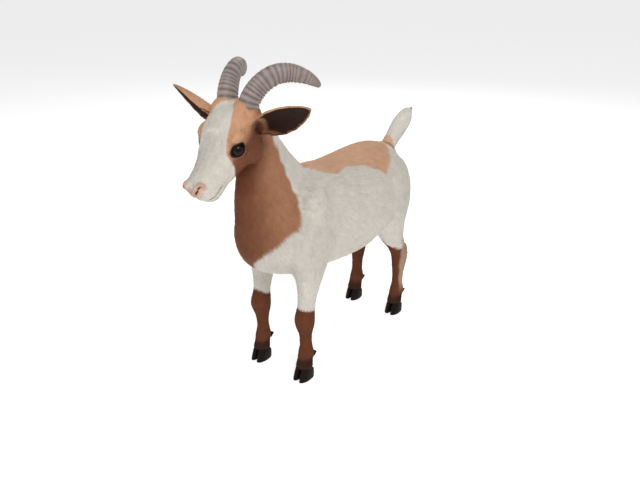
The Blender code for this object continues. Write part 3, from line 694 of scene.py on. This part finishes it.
def markingsAndPaintedLight(spots):
    # colour and bareness at each spot; the colour holds the markings together with painted shade and painted
    # light
    x, y, z = (spots - np.array((0, standY, 0))).T
    along, out, across = headPlaces(spots)
    wave = 0.0030 * np.sin(61 * y + 47 * z + 9 * x) + 0.0022 * np.sin(133 * z - 97 * y + 31 * x)
    colour = np.tile(coatColours["white"], (len(spots), 1))

    def paint(name, amount):
        colour[:] += (coatColours[name] - colour) * amount[:, None]

    def past(value, soft=0.004):
        return step(value, -soft, soft)

    girth = np.abs(x) + np.maximum(markingPlan["spineHeight"] - z, 0)
    saddleEdge = np.interp(y, *zip(*markingPlan["saddle"]))
    onBack = (z > 0.40) & (y > -0.03) & (y < 0.44)
    paint("tan", past(saddleEdge - girth + wave) * onBack)
    onTail = step(y, 0.424, 0.434) * step(z + 0.75 * y + 0.4 * (0.02 - np.abs(x)), 0.790, 0.802)
    paint("tan", onTail * (1 - past(y + wave - markingPlan["tailTan"])))

    # the front of the neck and chest, which is given painted shade below
    front = (1 - step(y, -0.13, -0.04)) * (1 - step(z, 0.50, 0.56))
    bib = z - markingPlan["bibPoint"] - markingPlan["bibSlope"] * np.abs(x) + 1.5 * wave
    brown = past(loopDistance(y, z, markingPlan["brownLoop"]) + wave) * past(bib)
    (startAlong, startOut), (endAlong, endOut) = markingPlan["muzzleLine"]
    muzzle = along - startAlong - (startOut - out) * (endAlong - startAlong) / (startOut - endOut)
    isHead = step(along, -0.03, 0.01) * step(out, -0.16, -0.12)
    brown *= 1 - past(muzzle + 0.6 * wave, 0.003) * isHead
    blaze = past(np.interp(along, *zip(*markingPlan["blaze"])) - np.abs(across) + 0.6 * wave, 0.0025)
    brown *= 1 - blaze * step(out, -0.055, -0.045) * isHead
    onEar = earShare(spots)
    brown = np.maximum(brown, onEar)
    # painted shade: the brown is darker on the lower side of the head and on the front of the neck and chest,
    # the planes that face away from the light
    cheek = step(-out, 0.022, 0.052) * isHead * (1 - step(y, -0.10, -0.06))
    shade = np.clip(0.95 * (front + cheek), 0, 1) * (1 - 0.8 * onEar)
    paint("brown", brown)
    # painted light: a lighter brown on the upper side of the head, where the light falls
    paint("brow", brown * step(out, -0.048, -0.018) * isHead * 0.9)
    paint("paintedShadeBrown", brown * shade * 0.9)

    foreLeg = (y < 0.15) & (z < 0.26)
    foreEdge = markingPlan["foreStocking"] + wave * 1.5 - 0.25 * (y - 0.01)
    paint("stocking", foreLeg * (1 - past(z - foreEdge)))
    hindLeg = (y > 0.25) & (z < 0.31)
    inner = step(0.075 - np.abs(x), -0.010, 0.020)
    hindEdge = markingPlan["hindStocking"] + 0.034 * inner + wave * 1.5
    paint("stocking", hindLeg * (1 - past(z - hindEdge, 0.005)))
    outside = step((np.abs(x) - 0.071) + 0.8 * (y - 0.431) + 0.5 * wave, -0.003, 0.008)
    outside *= hindLeg * step(z, 0.062, 0.095) * (1 - step(z, 0.235, 0.262))
    paint("strip", outside * 0.85)
    # painted shade: a darker brown on the front of the knees
    paint("paintedShadeBrown", foreLeg * bell(z - 0.168, 0.017) * (1 - step(y, -0.006, 0.016)) * 0.8)
    paint("pastern", (z < 0.21) * (1 - step(z + wave, 0.050, 0.066)) * 0.9)

    # bare skin round the eyes and on the nose
    bare = np.zeros(len(spots))
    for word, side in sides:
        forth, rise, ahead = inEye(spots, side)
        ring = (1 - step(lidShare(forth, rise)[0], 1.14, 1.28)) * (ahead > 0.004)
        paint("dark", ring)
        pad = np.exp(-(lineDistance(spots, foldLines["nostril", side]) / 0.0100) ** 4)
        pad = np.maximum(pad, np.exp(-(lineDistance(spots, foldLines["philtrum", side]) / 0.0080) ** 4))
        paint("nosePink", pad * 0.85)
        bare = np.maximum(bare, np.maximum(ring, pad))
    return colour, bare


def fit(piece, slot, *replaced):
    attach(piece, "root")
    if replaced:
        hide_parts(*replaced)


skinSpots, skinNormals = spotsOf(skinMesh), normalsOf(skinMesh)
skinColour, skinBare = markingsAndPaintedLight(skinSpots)
blurred, links = skinNormals, linksOf(skinMesh)
for turn in range(4):
    blurred = average(blurred, *links)
skinEdge = step(1 - np.linalg.norm(blurred, axis=1), 0.10, 0.40)      # 1 on the thin edges of the ears
print("thin edges on", float((skinEdge > 0.5).mean()), "of the skin")
facing = unit(blurred)
facing[:, 0] *= np.sign(skinSpots[:, 0])
# the inside of each ear is near black: its own dark skin together with painted shade in the hollow of the ear
insideEar = step(facing @ np.array(markingPlan["earOpening"]), 0.20, 0.60) * earShare(skinSpots)
insideEar *= step(np.abs(skinSpots[:, 0]), 0.062, 0.076) * (1 - step(skinEdge, 0.15, 0.60))
skinColour += (coatColours["earInsideShaded"] - skinColour) * insideEar[:, None]
# painted shade: near black where the mouth line and the nostrils sink deepest, with the lips' own dark edge
# along the mouth
skinColour += (coatColours["dark"] - skinColour) * step(pit, 0.28, 0.62)[:, None]
skinBare = np.maximum(skinBare, step(pit, 0.02, 0.12))
# painted shade: the skin is 10 % darker where the coat covers it
addColour(skinMesh, "coat", skinColour * (1 - 0.10 * (1 - skinBare[:, None])))
addNumber(skinMesh, "bare", skinBare)

surface = Surface("skin_and_undercoat", Roughness=0.7, Specular_IOR_Level=0.22)
bareness = surface.value("bare")
grain = surface.total(surface.noise(900, 2, stretch=(1, 0.25, 0.3)), (surface.noise(1500, 2), bareness))
mottle = surface.ramp(surface.noise(140), (0.3, (0.80, 0.78, 0.76)), (0.7, (1, 1, 1)))
surface.finish(Base_Color=surface.tinted(surface.value("coat", "Color"), mottle),
               Roughness=surface.total(0.82, (bareness, -0.34)), Normal=surface.bump(grain, 0.35, 0.0006))
skinMesh.materials.clear()
skinMesh.materials.append(surface.material)
skinMesh.polygons.foreach_set("use_smooth", [True] * len(skinMesh.polygons))
fit(skin, "coat_white", "head", "neck", "trunk", "tail", "ear_left", "ear_right", *legNodes)
print("skin is marked")

# the coat: closed three-sided tufts that lie along the skin, in locks that share a tip
coatPlan = {
    "cover": 8.0,            # how many tufts lie over each spot
    "most": 199000,          # triangles in one piece
    "wander": 0.17,          # turn of a tuft from the lie, in radians
    "lock": 0.0085,          # size of a lock
    "gather": 0.34,          # how far the tips of a lock draw together
    "sunk": 0.0007,
    "thick": 0.24,           # thickness as a share of the width
    "rounding": 0.20,        # how far the shading turns across a tuft
    "patch": 0.0014,         # half of a tuft's patch on the bake map
}
# the shades in this table are painted: darker at a tuft's root, where shade falls between the tufts, and a
# little painted light at its tip
tuftForms = {   # by the places along a tuft: faces, corners on the bake map and their shades
    2: (((0, 2, 1), (0, 1, 3), (1, 2, 3), (2, 0, 3)), ((-1, -0.7), (1, -0.7), (0, 1), (0, 0)),
        (0.92, 0.92, 0.92, 1.03)),
    3: (((0, 2, 1), (0, 1, 4), (0, 4, 3), (1, 2, 5), (1, 5, 4), (2, 0, 3), (2, 3, 5), (3, 4, 6), (4, 5, 6),
         (5, 3, 6)), ((-1, -0.7), (1, -0.7), (0, 1), (-0.6, -0.4), (0.6, -0.4), (0, 0.6), (0, 0)),
        (0.92, 0.92, 0.92, 0.98, 0.98, 0.98, 1.03)),
}
corners = skinSpots[skinFaces]
faceAreas = np.linalg.norm(np.cross(corners[:, 1] - corners[:, 0], corners[:, 2] - corners[:, 0]), axis=1) / 2
faceCentres = corners.mean(1)
skinValues = np.column_stack([skinSpots, skinNormals, *coatAt(skinSpots), insideEar, skinBare, skinEdge])
faceLength, faceWidth, faceInEar, faceBare = skinValues[:, 10:14][skinFaces].mean(1).T
skinTree = treeOf(skin)

surface = Surface("coat", Roughness=0.85, Specular_IOR_Level=0.09)
streaks = surface.ramp(surface.noise(60, 4, 0.6), (0.30, (0.94, 0.93, 0.92)), (0.70, (1, 1, 1)))
surface.finish(Base_Color=surface.tinted(surface.value("coat", "Color"), streaks))
coatMaterial = surface.material


def unwrapFaces(chosen):
    # an unwrap of this stretch of skin, for each corner of its faces
    mesh = bpy.data.meshes.new("unwrap")
    used, corner = np.unique(skinFaces[chosen], return_inverse=True)
    mesh.from_pydata(skinSpots[used].tolist(), [], corner.reshape(-1, 3).tolist())
    piece = link("unwrap", mesh)
    bpy.ops.object.select_all(action="DESELECT")
    bpy.context.view_layer.objects.active = piece
    piece.select_set(True)
    bpy.ops.object.mode_set(mode="EDIT")
    bpy.ops.mesh.select_all(action="SELECT")
    bpy.ops.uv.smart_project(angle_limit=1.15, island_margin=0.004, scale_to_bounds=True)
    bpy.ops.object.mode_set(mode="OBJECT")
    found = read(mesh.uv_layers.active.data, "uv", 2).astype(float).reshape(-1, 3, 2)
    bpy.data.objects.remove(piece)
    bpy.data.meshes.remove(mesh)
    return found


def tuftPiece(name, slot, centres, over, wide, thick, width, colours, patches, rounding):
    # centres and over: places and upward directions from root to tip; wide and thick: across and up
    pattern, corner, fade = tuftForms[len(centres)]
    count, half, rounding = len(wide), (width / 2)[:, None], rounding[:, None]
    spots, normals = [], []
    for number, (centre, upright) in enumerate(zip(centres[:-1], over[:-1])):
        for sideways, upward in ((-1, -0.4), (1, -0.4), (0, 1.0)):
            offset = wide * sideways + thick * upward * coatPlan["thick"] * 2
            spots.append(centre + offset * half * (1.0 if number or len(centres) == 2 else 0.8))
            normals.append(unit(upright + unit(offset) * rounding))
    spots.append(centres[-1])
    normals.append(unit(over[-1] + unit(centres[-1] - centres[0]) * (rounding - coatPlan["rounding"])))
    spots, normals = np.stack(spots, 1), np.stack(normals, 1)
    faces = (np.array(pattern)[None] + len(corner) * np.arange(count)[:, None, None]).reshape(-1, 3)
    # painted shade towards each tuft's root and painted light at its tip
    shaded = np.clip(colours[:, None] * np.array(fade)[None, :, None], 0, 1)
    uvs = (patches[:, None] + np.array(corner)[None] * coatPlan["patch"]).reshape(-1, 2)

    mesh = bpy.data.meshes.new(name)
    mesh.vertices.add(count * len(corner))
    mesh.vertices.foreach_set("co", spots.astype(np.float32).ravel())
    mesh.loops.add(len(faces) * 3)
    mesh.loops.foreach_set("vertex_index", faces.astype(np.int32).ravel())
    mesh.polygons.add(len(faces))
    mesh.polygons.foreach_set("loop_start", np.arange(0, len(faces) * 3, 3, dtype=np.int32))
    mesh.update(calc_edges=True)
    mesh.polygons.foreach_set("use_smooth", np.ones(len(faces), bool))
    mesh.uv_layers.new(name="OFBake").data.foreach_set("uv", uvs[faces.ravel()].astype(np.float32).ravel())
    addColour(mesh, "coat", shaded.reshape(-1, 3))
    mesh.normals_split_custom_set_from_vertices(normals.reshape(-1, 3))
    mesh.materials.append(coatMaterial)
    fit(link(name, mesh), slot)
    return len(faces)


def followSkin(spots, normal, limit):
    # how far each spot is from the skin along its own upward direction, and that direction
    below, upright = np.empty_like(spots), np.empty_like(spots)
    for index, spot in enumerate(spots):
        below[index], upright[index] = skinTree.find_nearest(spot)[:2]
    turned = (upright * normal).sum(1) < 0.2
    upright[turned] = normal[turned]
    upright = unit(upright + normal * 0.7)
    drop = ((below - spots) * upright).sum(1)
    drop[turned] = 0
    return np.clip(drop, -limit, limit), upright


def growCoat(name, slot, inRegion, seed, cover, fineness, bent=False):
    random = np.random.default_rng(seed)
    chosen = np.nonzero(inRegion)[0]
    thinned = (1 - step(faceBare[chosen], 0.25, 0.7)) * (1 - 0.35 * faceInEar[chosen])
    wanted = faceAreas[chosen] * coatPlan["cover"] * cover * thinned
    wanted /= faceLength[chosen] * faceWidth[chosen] * fineness
    total = np.cumsum(wanted)
    count = int(min(total[-1], coatPlan["most"] // len(tuftForms[3 if bent else 2][0])))
    picks = np.searchsorted(total, (np.arange(count) + random.random(count)) / count * total[-1])
    picks = np.minimum(picks, len(chosen) - 1)
    mix = random.random((count, 2))
    flip = mix.sum(1) > 1
    mix[flip] = 1 - mix[flip]
    mix = np.column_stack([mix, 1 - mix.sum(1)])[:, :, None]
    values = (skinValues[skinFaces[chosen[picks]]] * mix).sum(1)
    patches = (unwrapFaces(chosen)[picks] * mix).sum(1)
    root, normal, lie = values[:, :3], unit(values[:, 3:6]), values[:, 6:9]
    (depth, length, width, inEar), onEdge = values[:, 9:13].T, values[:, 14]
    outwards = (lie * normal).sum(1)
    alone = np.maximum(step(onEdge, 0, 0.5), step(outwards, 0.4, 0.8))      # shaded by its own shape
    rounding = coatPlan["rounding"] + 3.0 * np.maximum(alone, 0.3 * earShare(root))
    stand = step(outwards, 0.70, 0.97)
    length = length * ((1 - 0.40 * onEdge) * (1 - 0.45 * inEar))
    length *= 1 - 0.65 * stand * (root[:, 1] - standY < 0.3)      # long tufts stand only on the tail's end
    depth = depth * (1 - 0.50 * onEdge)
    lie = unit(lie - normal * (outwards * (1 - stand))[:, None])
    side = unit(np.cross(normal, lie))
    sweep = 0.10 * np.sin(38 * root[:, 0] + 29 * root[:, 1] + 33 * root[:, 2])
    sweep += 0.07 * np.sin(83 * root[:, 2] - 71 * root[:, 1])
    turn = (sweep + random.normal(0, coatPlan["wander"], count))[:, None]
    lie, side = lie * np.cos(turn) + side * np.sin(turn), side * np.cos(turn) - lie * np.sin(turn)
    # the tips of each lock draw together, and longer coat has larger locks
    grade = np.round(np.log(length / 0.010) / 0.4)[:, None]
    length *= random.uniform(0.72, 1.22, count)
    width = width * fineness * random.uniform(0.75, 1.25, count)
    tip = root + lie * length[:, None]
    size = coatPlan["lock"] * (0.5 + 0.3 * np.exp(0.4 * grade))
    cell = np.floor((root + random.normal(0, 0.0009, root.shape)) / size).astype(np.int64)
    lock = np.column_stack([cell, grade]) @ np.array([1, 4001, 16008001, 0.31])
    lock = np.unique(lock, return_inverse=True)[1]
    members = np.bincount(lock)
    middle = np.stack([np.bincount(lock, tip[:, axis]) / members for axis in range(3)], 1)[lock]
    tip += (middle - tip) * (coatPlan["gather"] * random.uniform(0.5, 1.3, count))[:, None]
    rises = random.uniform(0.50, 1.02, len(members))[lock] * random.uniform(0.75, 1.15, count)
    shades = random.normal(0, 0.030, len(members))[lock] + random.normal(0, 0.035, count)
    centres, over = [root - normal * coatPlan["sunk"]], [normal]
    for share, rise in ((0.45, 0.62), (1.0, 1.0)) if bent else ((1.0, 1.0),):
        straight = root + (tip - root) * share
        drop, upright = followSkin(straight, normal, 0.35 * length)
        centres.append(straight + upright * (drop + depth * rises * rise)[:, None])
        over.append(upright)
    roll = random.uniform(-0.5, 0.5, count)[:, None]
    wide = side * np.cos(roll) + normal * np.sin(roll)
    colour = markingsAndPaintedLight(root + lie * (length * 0.45)[:, None])[0]
    # tufts inside the ears take the near black of dark skin and painted shade
    colour += (coatColours["earInsideShaded"] * 1.2 - colour) * (inEar * 0.95)[:, None]
    colour = colour * (1 + shades[:, None] * (1.8 - colour[:, :1]))
    colour *= 1 + random.normal(0, 0.02, (count, 3)) * (0, 1, 1)
    print(name, count, "tufts of", int(total[-1]), "wanted")
    return tuftPiece(name, slot, centres, over, wide, np.cross(lie, wide), width, colour, patches, rounding)


def beyond(line, sign):
    # which side of a line, given by y and z of two points, each face is on
    (ay, az), (by, bz) = line
    return sign * ((fy - ay) * (bz - az) - (fz - az) * (by - ay)) > 0


fx, fy, fz = (faceCentres - np.array((0, standY, 0))).T
atEars = earShare(faceCentres) > 0.25
onHead = beyond(((-0.0450, 0.724), (-0.1438, 0.435)), 1) & ~atEars & (fy < -0.03)
onNeck = beyond(((0.120, 0.554), (-0.145, 0.375)), 1) & ~atEars & ~onHead & (fy < 0.13)
onTail = (fy > 0.38) & (fz + 0.85 * fy > 0.853)
onFore = (fy < 0.10) & (fz < 0.285)
onHind = (fy > 0.295) & (fz < 0.330) & ~onTail
onTrunk = ~(atEars | onHead | onNeck | onTail | onFore | onHind)
barrel = (fy >= 0.13) & (fy < 0.30)
regions = {   # slot, where, cover, fineness, bent tufts
    "coat_face": ("coat_white", onHead & (fy < -0.172), 0.70, 0.80),
    "coat_crown": ("coat_brown", onHead & (fy >= -0.172), 0.70, 0.80),
    "coat_ears": ("coat_brown", atEars, 0.60, 0.80),
    "coat_neck": ("coat_brown", onNeck, 1.0, 0.62),
    "coat_shoulder_left": ("coat_white", onTrunk & (fx > 0) & (fy < 0.13), 1.0, 0.62),
    "coat_shoulder_right": ("coat_white", onTrunk & (fx <= 0) & (fy < 0.13), 1.0, 0.62),
    "coat_barrel_left": ("coat_white", onTrunk & (fx > 0) & barrel, 1.0, 0.62),
    "coat_barrel_right": ("coat_white", onTrunk & (fx <= 0) & barrel, 1.0, 0.62),
    "coat_rump": ("coat_white", onTrunk & (fy >= 0.30), 1.0, 0.62),
    "coat_tail": ("coat_white", onTail, 1.0, 0.55, True),
    "coat_forelegs": ("coat_brown", onFore, 0.48, 0.85),
    "coat_hindlegs": ("coat_brown", onHind, 0.48, 0.85),
}
coatFaces = 0
for seed, (name, (slot, where, *values)) in enumerate(regions.items()):
    coatFaces += growCoat(name, slot, where, 11 + seed, *values)
print(coatFaces, "triangles of coat")


# horns, claws and eyes
def wrapGrid(name, around, along, material, shape):
    # a grid wrapped into a closed form: shape gives the place at a share round and a share along
    bm = bmesh.new()
    bm.loops.layers.uv.new("wrap")
    bmesh.ops.create_grid(bm, x_segments=around, y_segments=along, size=0.5, calc_uvs=True)
    for vert in bm.verts:
        vert.co = shape(vert.co.x + 0.5, vert.co.y + 0.5)
    bmesh.ops.remove_doubles(bm, verts=bm.verts, dist=0.000002)
    bmesh.ops.holes_fill(bm, edges=[edge for edge in bm.edges if edge.is_boundary], sides=0)
    bmesh.ops.recalc_face_normals(bm, faces=bm.faces)
    return newPiece(name, bm, material)


def fairPoint(rows, share):
    # a smooth curve through the rows
    at = share * (len(rows) - 1)
    number = min(int(at), len(rows) - 2)
    part = at - number
    near = [rows[min(max(number + shift, 0), len(rows) - 1)] for shift in (-1, 0, 1, 2)]
    before, start, end, after = np.array(near)
    return 0.5 * (2 * start + (end - before) * part + (2 * before - 5 * start + 4 * end - after) * part ** 2
                  + (3 * start - before - 3 * end + after) * part ** 3)


def rounded(turn, fullness):
    # a ring between a circle and a square
    return (math.copysign(abs(value) ** (2 / fullness), value) for value in (math.cos(turn), math.sin(turn)))


hornPlan = {
    "rows": [  # x, y, z of the core, size as a share of the root
        (0.0240, -0.1150, 0.6600, 1.00),
        (0.0280, -0.1120, 0.6860, 1.00),
        (0.0345, -0.1020, 0.7120, 0.97),
        (0.0445, -0.0820, 0.7345, 0.91),
        (0.0565, -0.0560, 0.7475, 0.83),
        (0.0720, -0.0290, 0.7485, 0.73),
        (0.0880, -0.0060, 0.7400, 0.59),
        (0.1010, 0.0090, 0.7285, 0.42),
        (0.1100, 0.0170, 0.7180, 0.19),
    ],
    "depth": 0.048,
    "width": 0.037,
    "radius": 0.016,         # that the rings and striations are measured against
    "keel": 0.10,
    "tip": 0.955,            # where the point begins to round off
    "rings": 26,
    "ringDepth": 0.0011,
    "striations": 0.00022,
    "around": 40,
    "along": 240,
}


def hornSpot(side, around, along):
    x, y, z, size = fairPoint(hornPlan["rows"], along)
    ahead, behind = (Vector(fairPoint(hornPlan["rows"], share)[:3])
                     for share in (min(along + 0.01, 1.0), max(along - 0.01, 0.0)))
    core = (ahead - behind).normalized()
    flat = (Vector((1, 0, 0)) - core * core.x).normalized()
    turn = 2 * math.pi * around
    across, forth = math.cos(turn), math.sin(turn)
    toFront = max(0.0, forth)
    tip = math.sqrt(max(1 - max(0.0, (along - hornPlan["tip"]) / (1 - hornPlan["tip"])) ** 2, 0.0))
    fade = (1 - along) ** 0.7 * (0.65 + 0.35 * forth)
    swell = (hornRing(along, turn) - 0.5) * 2 * hornPlan["ringDepth"] * fade / max(size, 0.2)
    swell += hornPlan["striations"] * math.sin(11 * turn + 2.4 * math.sin(9 * along)) * math.sin(5 * turn + 3)
    offset = flat * across * hornPlan["width"] / 2 * (1 - 0.12 * toFront)
    offset += core.cross(flat) * forth * hornPlan["depth"] / 2 * (1 + hornPlan["keel"] * toFront ** 2)
    spot = Vector((x, y, z)) + offset * (size * (1 + swell / hornPlan["radius"]) * tip)
    return place(side * spot.x, spot.y, spot.z)


def hornRing(along, turn):
    # 1 on the crest of a growth ring, 0 in the groove
    phase = along * hornPlan["rings"] + 0.45 * math.sin(along * 21) + 0.12 * math.sin(2 * turn + along * 40)
    return (0.5 + 0.5 * math.cos(2 * math.pi * phase)) ** 0.7


surface = Surface("horn", Specular_IOR_Level=0.45)
wrapped = surface.node("UVMap", uv_map="wrap").outputs["UV"]
fibre = surface.noise(1.0, 4, 0.6, (70, 5, 1), wrapped)
cloud = surface.noise(55, 4, 0.6)
tone = surface.total(0.0, (surface.value("groove"), 0.45), (fibre, 0.30), (cloud, 0.40))
surface.finish(
    Base_Color=surface.ramp(tone, (0.25, (0.085, 0.066, 0.060)), (0.50, (0.180, 0.143, 0.132)),
                            (0.70, (0.265, 0.215, 0.200)), (0.95, (0.375, 0.315, 0.290))),
    Roughness=surface.total(0.40, (cloud, 0.22)), Normal=surface.bump(fibre, 0.35, 0.0006))
shares = np.linspace(0, 1, 400)
rows = [fairPoint(hornPlan["rows"], share) for share in shares]
for word, side in sides:
    horn = wrapGrid("horn_sheath_" + word, hornPlan["around"], hornPlan["along"], surface.material,
                    lambda u, v: hornSpot(side, u, v))
    rowSpots = np.array([place(side * x, y, z) for x, y, z, size in rows])
    rings = []
    for spot in spotsOf(horn.data):
        along = shares[np.argmin(((rowSpots - spot) ** 2).sum(1))]
        worn = 1 - (1 - along) ** 0.5
        rings.append(hornRing(along, 0.0) * (1 - worn) + 0.5 * worn - 0.35 * max(0, along - 0.7))
    addNumber(horn.data, "groove", np.array(rings))
    fit(horn, "horn", "horn_" + word)
print("horns are grown")

clawPlan = {
    "legSpread": 0.071,
    "width": 0.0195,
    "cleft": 0.0024,
    "fore": (-0.0280, 0.0285),   # y of the toes and of the dewclaws
    "hind": (0.3880, 0.4465),
    "sole": (0.0007, 0.06),      # height and share along of the ground edge
    "coronet": (0.0385, 0.0190, 0.82),   # height in front and behind, and share along
    "ripple": 0.00007,
    "ripples": 6,
    "mesh": (32, 26),
    "dewSide": 0.0092,
    "dewHeight": 0.0590,
    "dewLength": 0.0150,
    "dewTurn": math.radians(-28),
    "dewMesh": (20, 14),
}


def clawSpot(side, toe, outward, around, along):
    ground, edgeShare = clawPlan["sole"]
    frontHeight, rearHeight, topShare = clawPlan["coronet"]
    share = min(max((along - edgeShare) / (topShare - edgeShare), 0.0), 1.0)       # up the wall
    above = max(0.0, (along - topShare) / (1 - topShare))      # inside the hair over the coronet
    front = toe + 0.0130 * share + 0.0012 * (1 - share) ** 4 + 0.0035 * above
    rear = toe + 0.0500 + 0.0010 * share - 0.0035 * above
    swell = 1 - 0.05 * share + 0.03 * math.sin(math.pi * share)
    forth, out = rounded(2 * math.pi * around, 2.5)
    ripple = clawPlan["ripple"] * math.sin(2 * math.pi * clawPlan["ripples"] * share) * (0 < share < 1)
    edge = 1 - 0.10 * (1 - min(along / edgeShare, 1.0)) ** 2 - 0.14 * above
    narrow = 1 - 0.20 * max(0.0, forth) ** 2
    y = (front + rear) / 2 - ((rear - front) / 2 * edge + ripple) * forth
    x = clawPlan["cleft"] / 2 + clawPlan["width"] * swell * (0.5 + 0.5 * out * edge) * narrow + ripple * out
    line = frontHeight + (rearHeight - frontHeight) * (y - toe + 0.004) / 0.064
    z = ground + (line - ground) * share if along >= edgeShare else ground * along / edgeShare
    return place(side * (clawPlan["legSpread"] + outward * x), y, z + 0.0050 * above)


def dewclawSpot(side, rear, outward, around, along):
    turn = 2 * math.pi * around
    radius = (0.0036 + 0.0026 * along) * math.sqrt(max(1 - (1 - min(along / 0.30, 1.0)) ** 2, 0.0))
    local = Vector((math.cos(turn) * radius, math.sin(turn) * radius * 0.9,
                    -0.0078 + clawPlan["dewLength"] * along))
    across = side * (clawPlan["legSpread"] + outward * clawPlan["dewSide"])
    return place(across, rear, clawPlan["dewHeight"]) + Matrix.Rotation(clawPlan["dewTurn"], 3, "X") @ local


surface = Surface("hoof", Specular_IOR_Level=0.12)
bands = surface.node("TexWave", {"Vector": surface.place, "Scale": 60.0, "Distortion": 5.0, "Detail": 3.0},
                     bands_direction="Z").outputs["Fac"]
scuff = surface.noise(160, 5, 0.65)
tone = surface.total(0.0, (bands, 0.14), (scuff, 0.8))
surface.finish(
    Base_Color=surface.ramp(tone, (0.30, (0.004, 0.002, 0.001)), (0.60, (0.009, 0.005, 0.004)),
                            (0.85, (0.026, 0.017, 0.013))),
    Roughness=surface.total(0.38, (scuff, 0.32)), Normal=surface.bump(tone, 0.3, 0.0005))
for word, side in sides:
    for end in ("fore", "hind"):
        toe, rear = clawPlan[end]
        for which, outward in (("outer", 1), ("inner", -1)):
            node = f"{end}_{word}_{which}"
            fit(wrapGrid("hoof_" + node, *clawPlan["mesh"], surface.material,
                         lambda u, v: clawSpot(side, toe, outward, u, v)), "hoof", "claw_" + node)
            fit(wrapGrid("dew_" + node, *clawPlan["dewMesh"], surface.material,
                         lambda u, v: dewclawSpot(side, rear, outward, u, v)), "hoof", "dewclaw_" + node)
print("claws are shaped")

surface = Surface("eye", Roughness=0.12, Specular_IOR_Level=0.0, Coat_Weight=0.4, Coat_Roughness=0.02,
                  Coat_IOR=1.40)
seen = surface.node("SeparateXYZ", {0: surface.node("UVMap", uv_map="iris").outputs[0]})
level, rise = (surface.math("ABSOLUTE", surface.math("SUBTRACT", seen.outputs[axis], 0.5)) for axis in (0, 1))
beyondBar = surface.math("MAXIMUM", surface.math("SUBTRACT", level, eyePlan["bar"]), 0.0)
fromBar, fromCentre = (surface.math("SQRT", surface.total(0.0, (value, value), (rise, rise)))
                       for value in (beyondBar, level))
irisColour = surface.ramp(
    surface.total(fromCentre, (surface.noise(900), 0.06)),
    (0.10, (0.011, 0.006, 0.003)), (0.27, (0.018, 0.009, 0.004)), (0.34, (0.010, 0.006, 0.003)),
    (0.38, (0.003, 0.002, 0.002)), (0.50, (0.003, 0.002, 0.001)))
pupil = surface.ramp(fromBar, (0.060, (0, 0, 0)), (0.080, (1, 1, 1)))
surface.finish(Base_Color=surface.tinted(irisColour, pupil))
for word, side in sides:
    centre, look, slit, up = eyeFrame(side)
    bm = bmesh.new()
    upright = (Vector((0, 0, 1)) - look * look.z).normalized()
    forwards = upright.cross(look)
    turned = Matrix((forwards, upright, look)).transposed().to_4x4()
    bmesh.ops.create_uvsphere(bm, u_segments=64, v_segments=48, radius=eyePlan["ball"],
                              matrix=Matrix.Translation(centre) @ turned)
    iris = bm.loops.layers.uv.new("iris")
    for face in bm.faces:
        for loop in face.loops:
            apart = (loop.vert.co - centre) / (2 * eyePlan["ball"])
            loop[iris].uv = (0.5 + apart.dot(forwards), 0.5 + apart.dot(upright))
    for vert in bm.verts:
        apart = vert.co - centre
        share = max(0.0, 1 - (apart.angle(look) / eyePlan["bulgeReach"]) ** 2)
        vert.co = centre + apart * (1 + eyePlan["bulge"] * share)
    fit(newPiece("eyeball_" + word, bm, surface.material), "eye", "eye_" + word)
print("eyes are set")

# lashes on the upper lids, and whiskers round the mouth
hairPlan = {
    "lashes": 40,            # on each side, as are the whiskers
    "lashLength": 0.0070,
    "lashWidth": 0.0007,
    "whiskers": 34,
    "whiskerAlong": (0.150, 0.194),
    "whiskerOut": (-0.076, -0.044),
    "whiskerLength": (0.008, 0.017),
    "whiskerWidth": 0.00045,
}
random = np.random.default_rng(5)
hairs = []   # root, middle, tip, upward direction, width, colour
for word, side in sides:
    centre, look, slit, up = eyeFrame(side)
    for number in range(hairPlan["lashes"]):
        turn = math.pi * (0.10 + 0.78 * (number + random.random() * 0.6) / hairPlan["lashes"])
        root = lidSpot(side, turn, 1.03, eyePlan["ball"] + eyePlan["lidThick"] * 0.9)
        away = (root - centre).normalized()
        lean = slit * (0.7 * math.cos(turn) + random.normal(0, 0.10))
        reach = hairPlan["lashLength"] * random.uniform(0.7, 1.1)
        hairs.append((root - away * 0.0006, root + (away * 0.75 + up * 0.15 + lean * 0.4) * reach * 0.5,
                      root + (away * 0.72 + up * 0.66 + lean) * reach, up, hairPlan["lashWidth"],
                      coatColours["dark"]))
    for number in range(hairPlan["whiskers"]):
        spot = inHead(random.uniform(*hairPlan["whiskerAlong"]), random.uniform(*hairPlan["whiskerOut"]),
                      side * 0.05)
        root, normal = skinTree.find_nearest(spot)[:2]
        reach = random.uniform(*hairPlan["whiskerLength"])
        aim = normal * 0.55 + Vector((side * 0.2, 0.15, -0.75)) + Vector(random.normal(0, 0.12, 3))
        aim.normalize()
        hairs.append((root - normal * 0.0005, root + (aim + normal * 0.35) * reach * 0.5, root + aim * reach,
                      normal, hairPlan["whiskerWidth"], coatColours["white"] * 0.9))
roots, middles, tips, overs, widths, hues = (np.array(column) for column in zip(*hairs))
across = unit(np.cross(overs, tips - roots))
tuftPiece("lashes_and_whiskers", "coat_brown", [roots, middles, tips], [overs] * 3, across,
          unit(np.cross(tips - roots, across)), widths, hues, 0.1 + 0.8 * random.random((len(roots), 2)),
          np.full(len(roots), coatPlan["rounding"]))
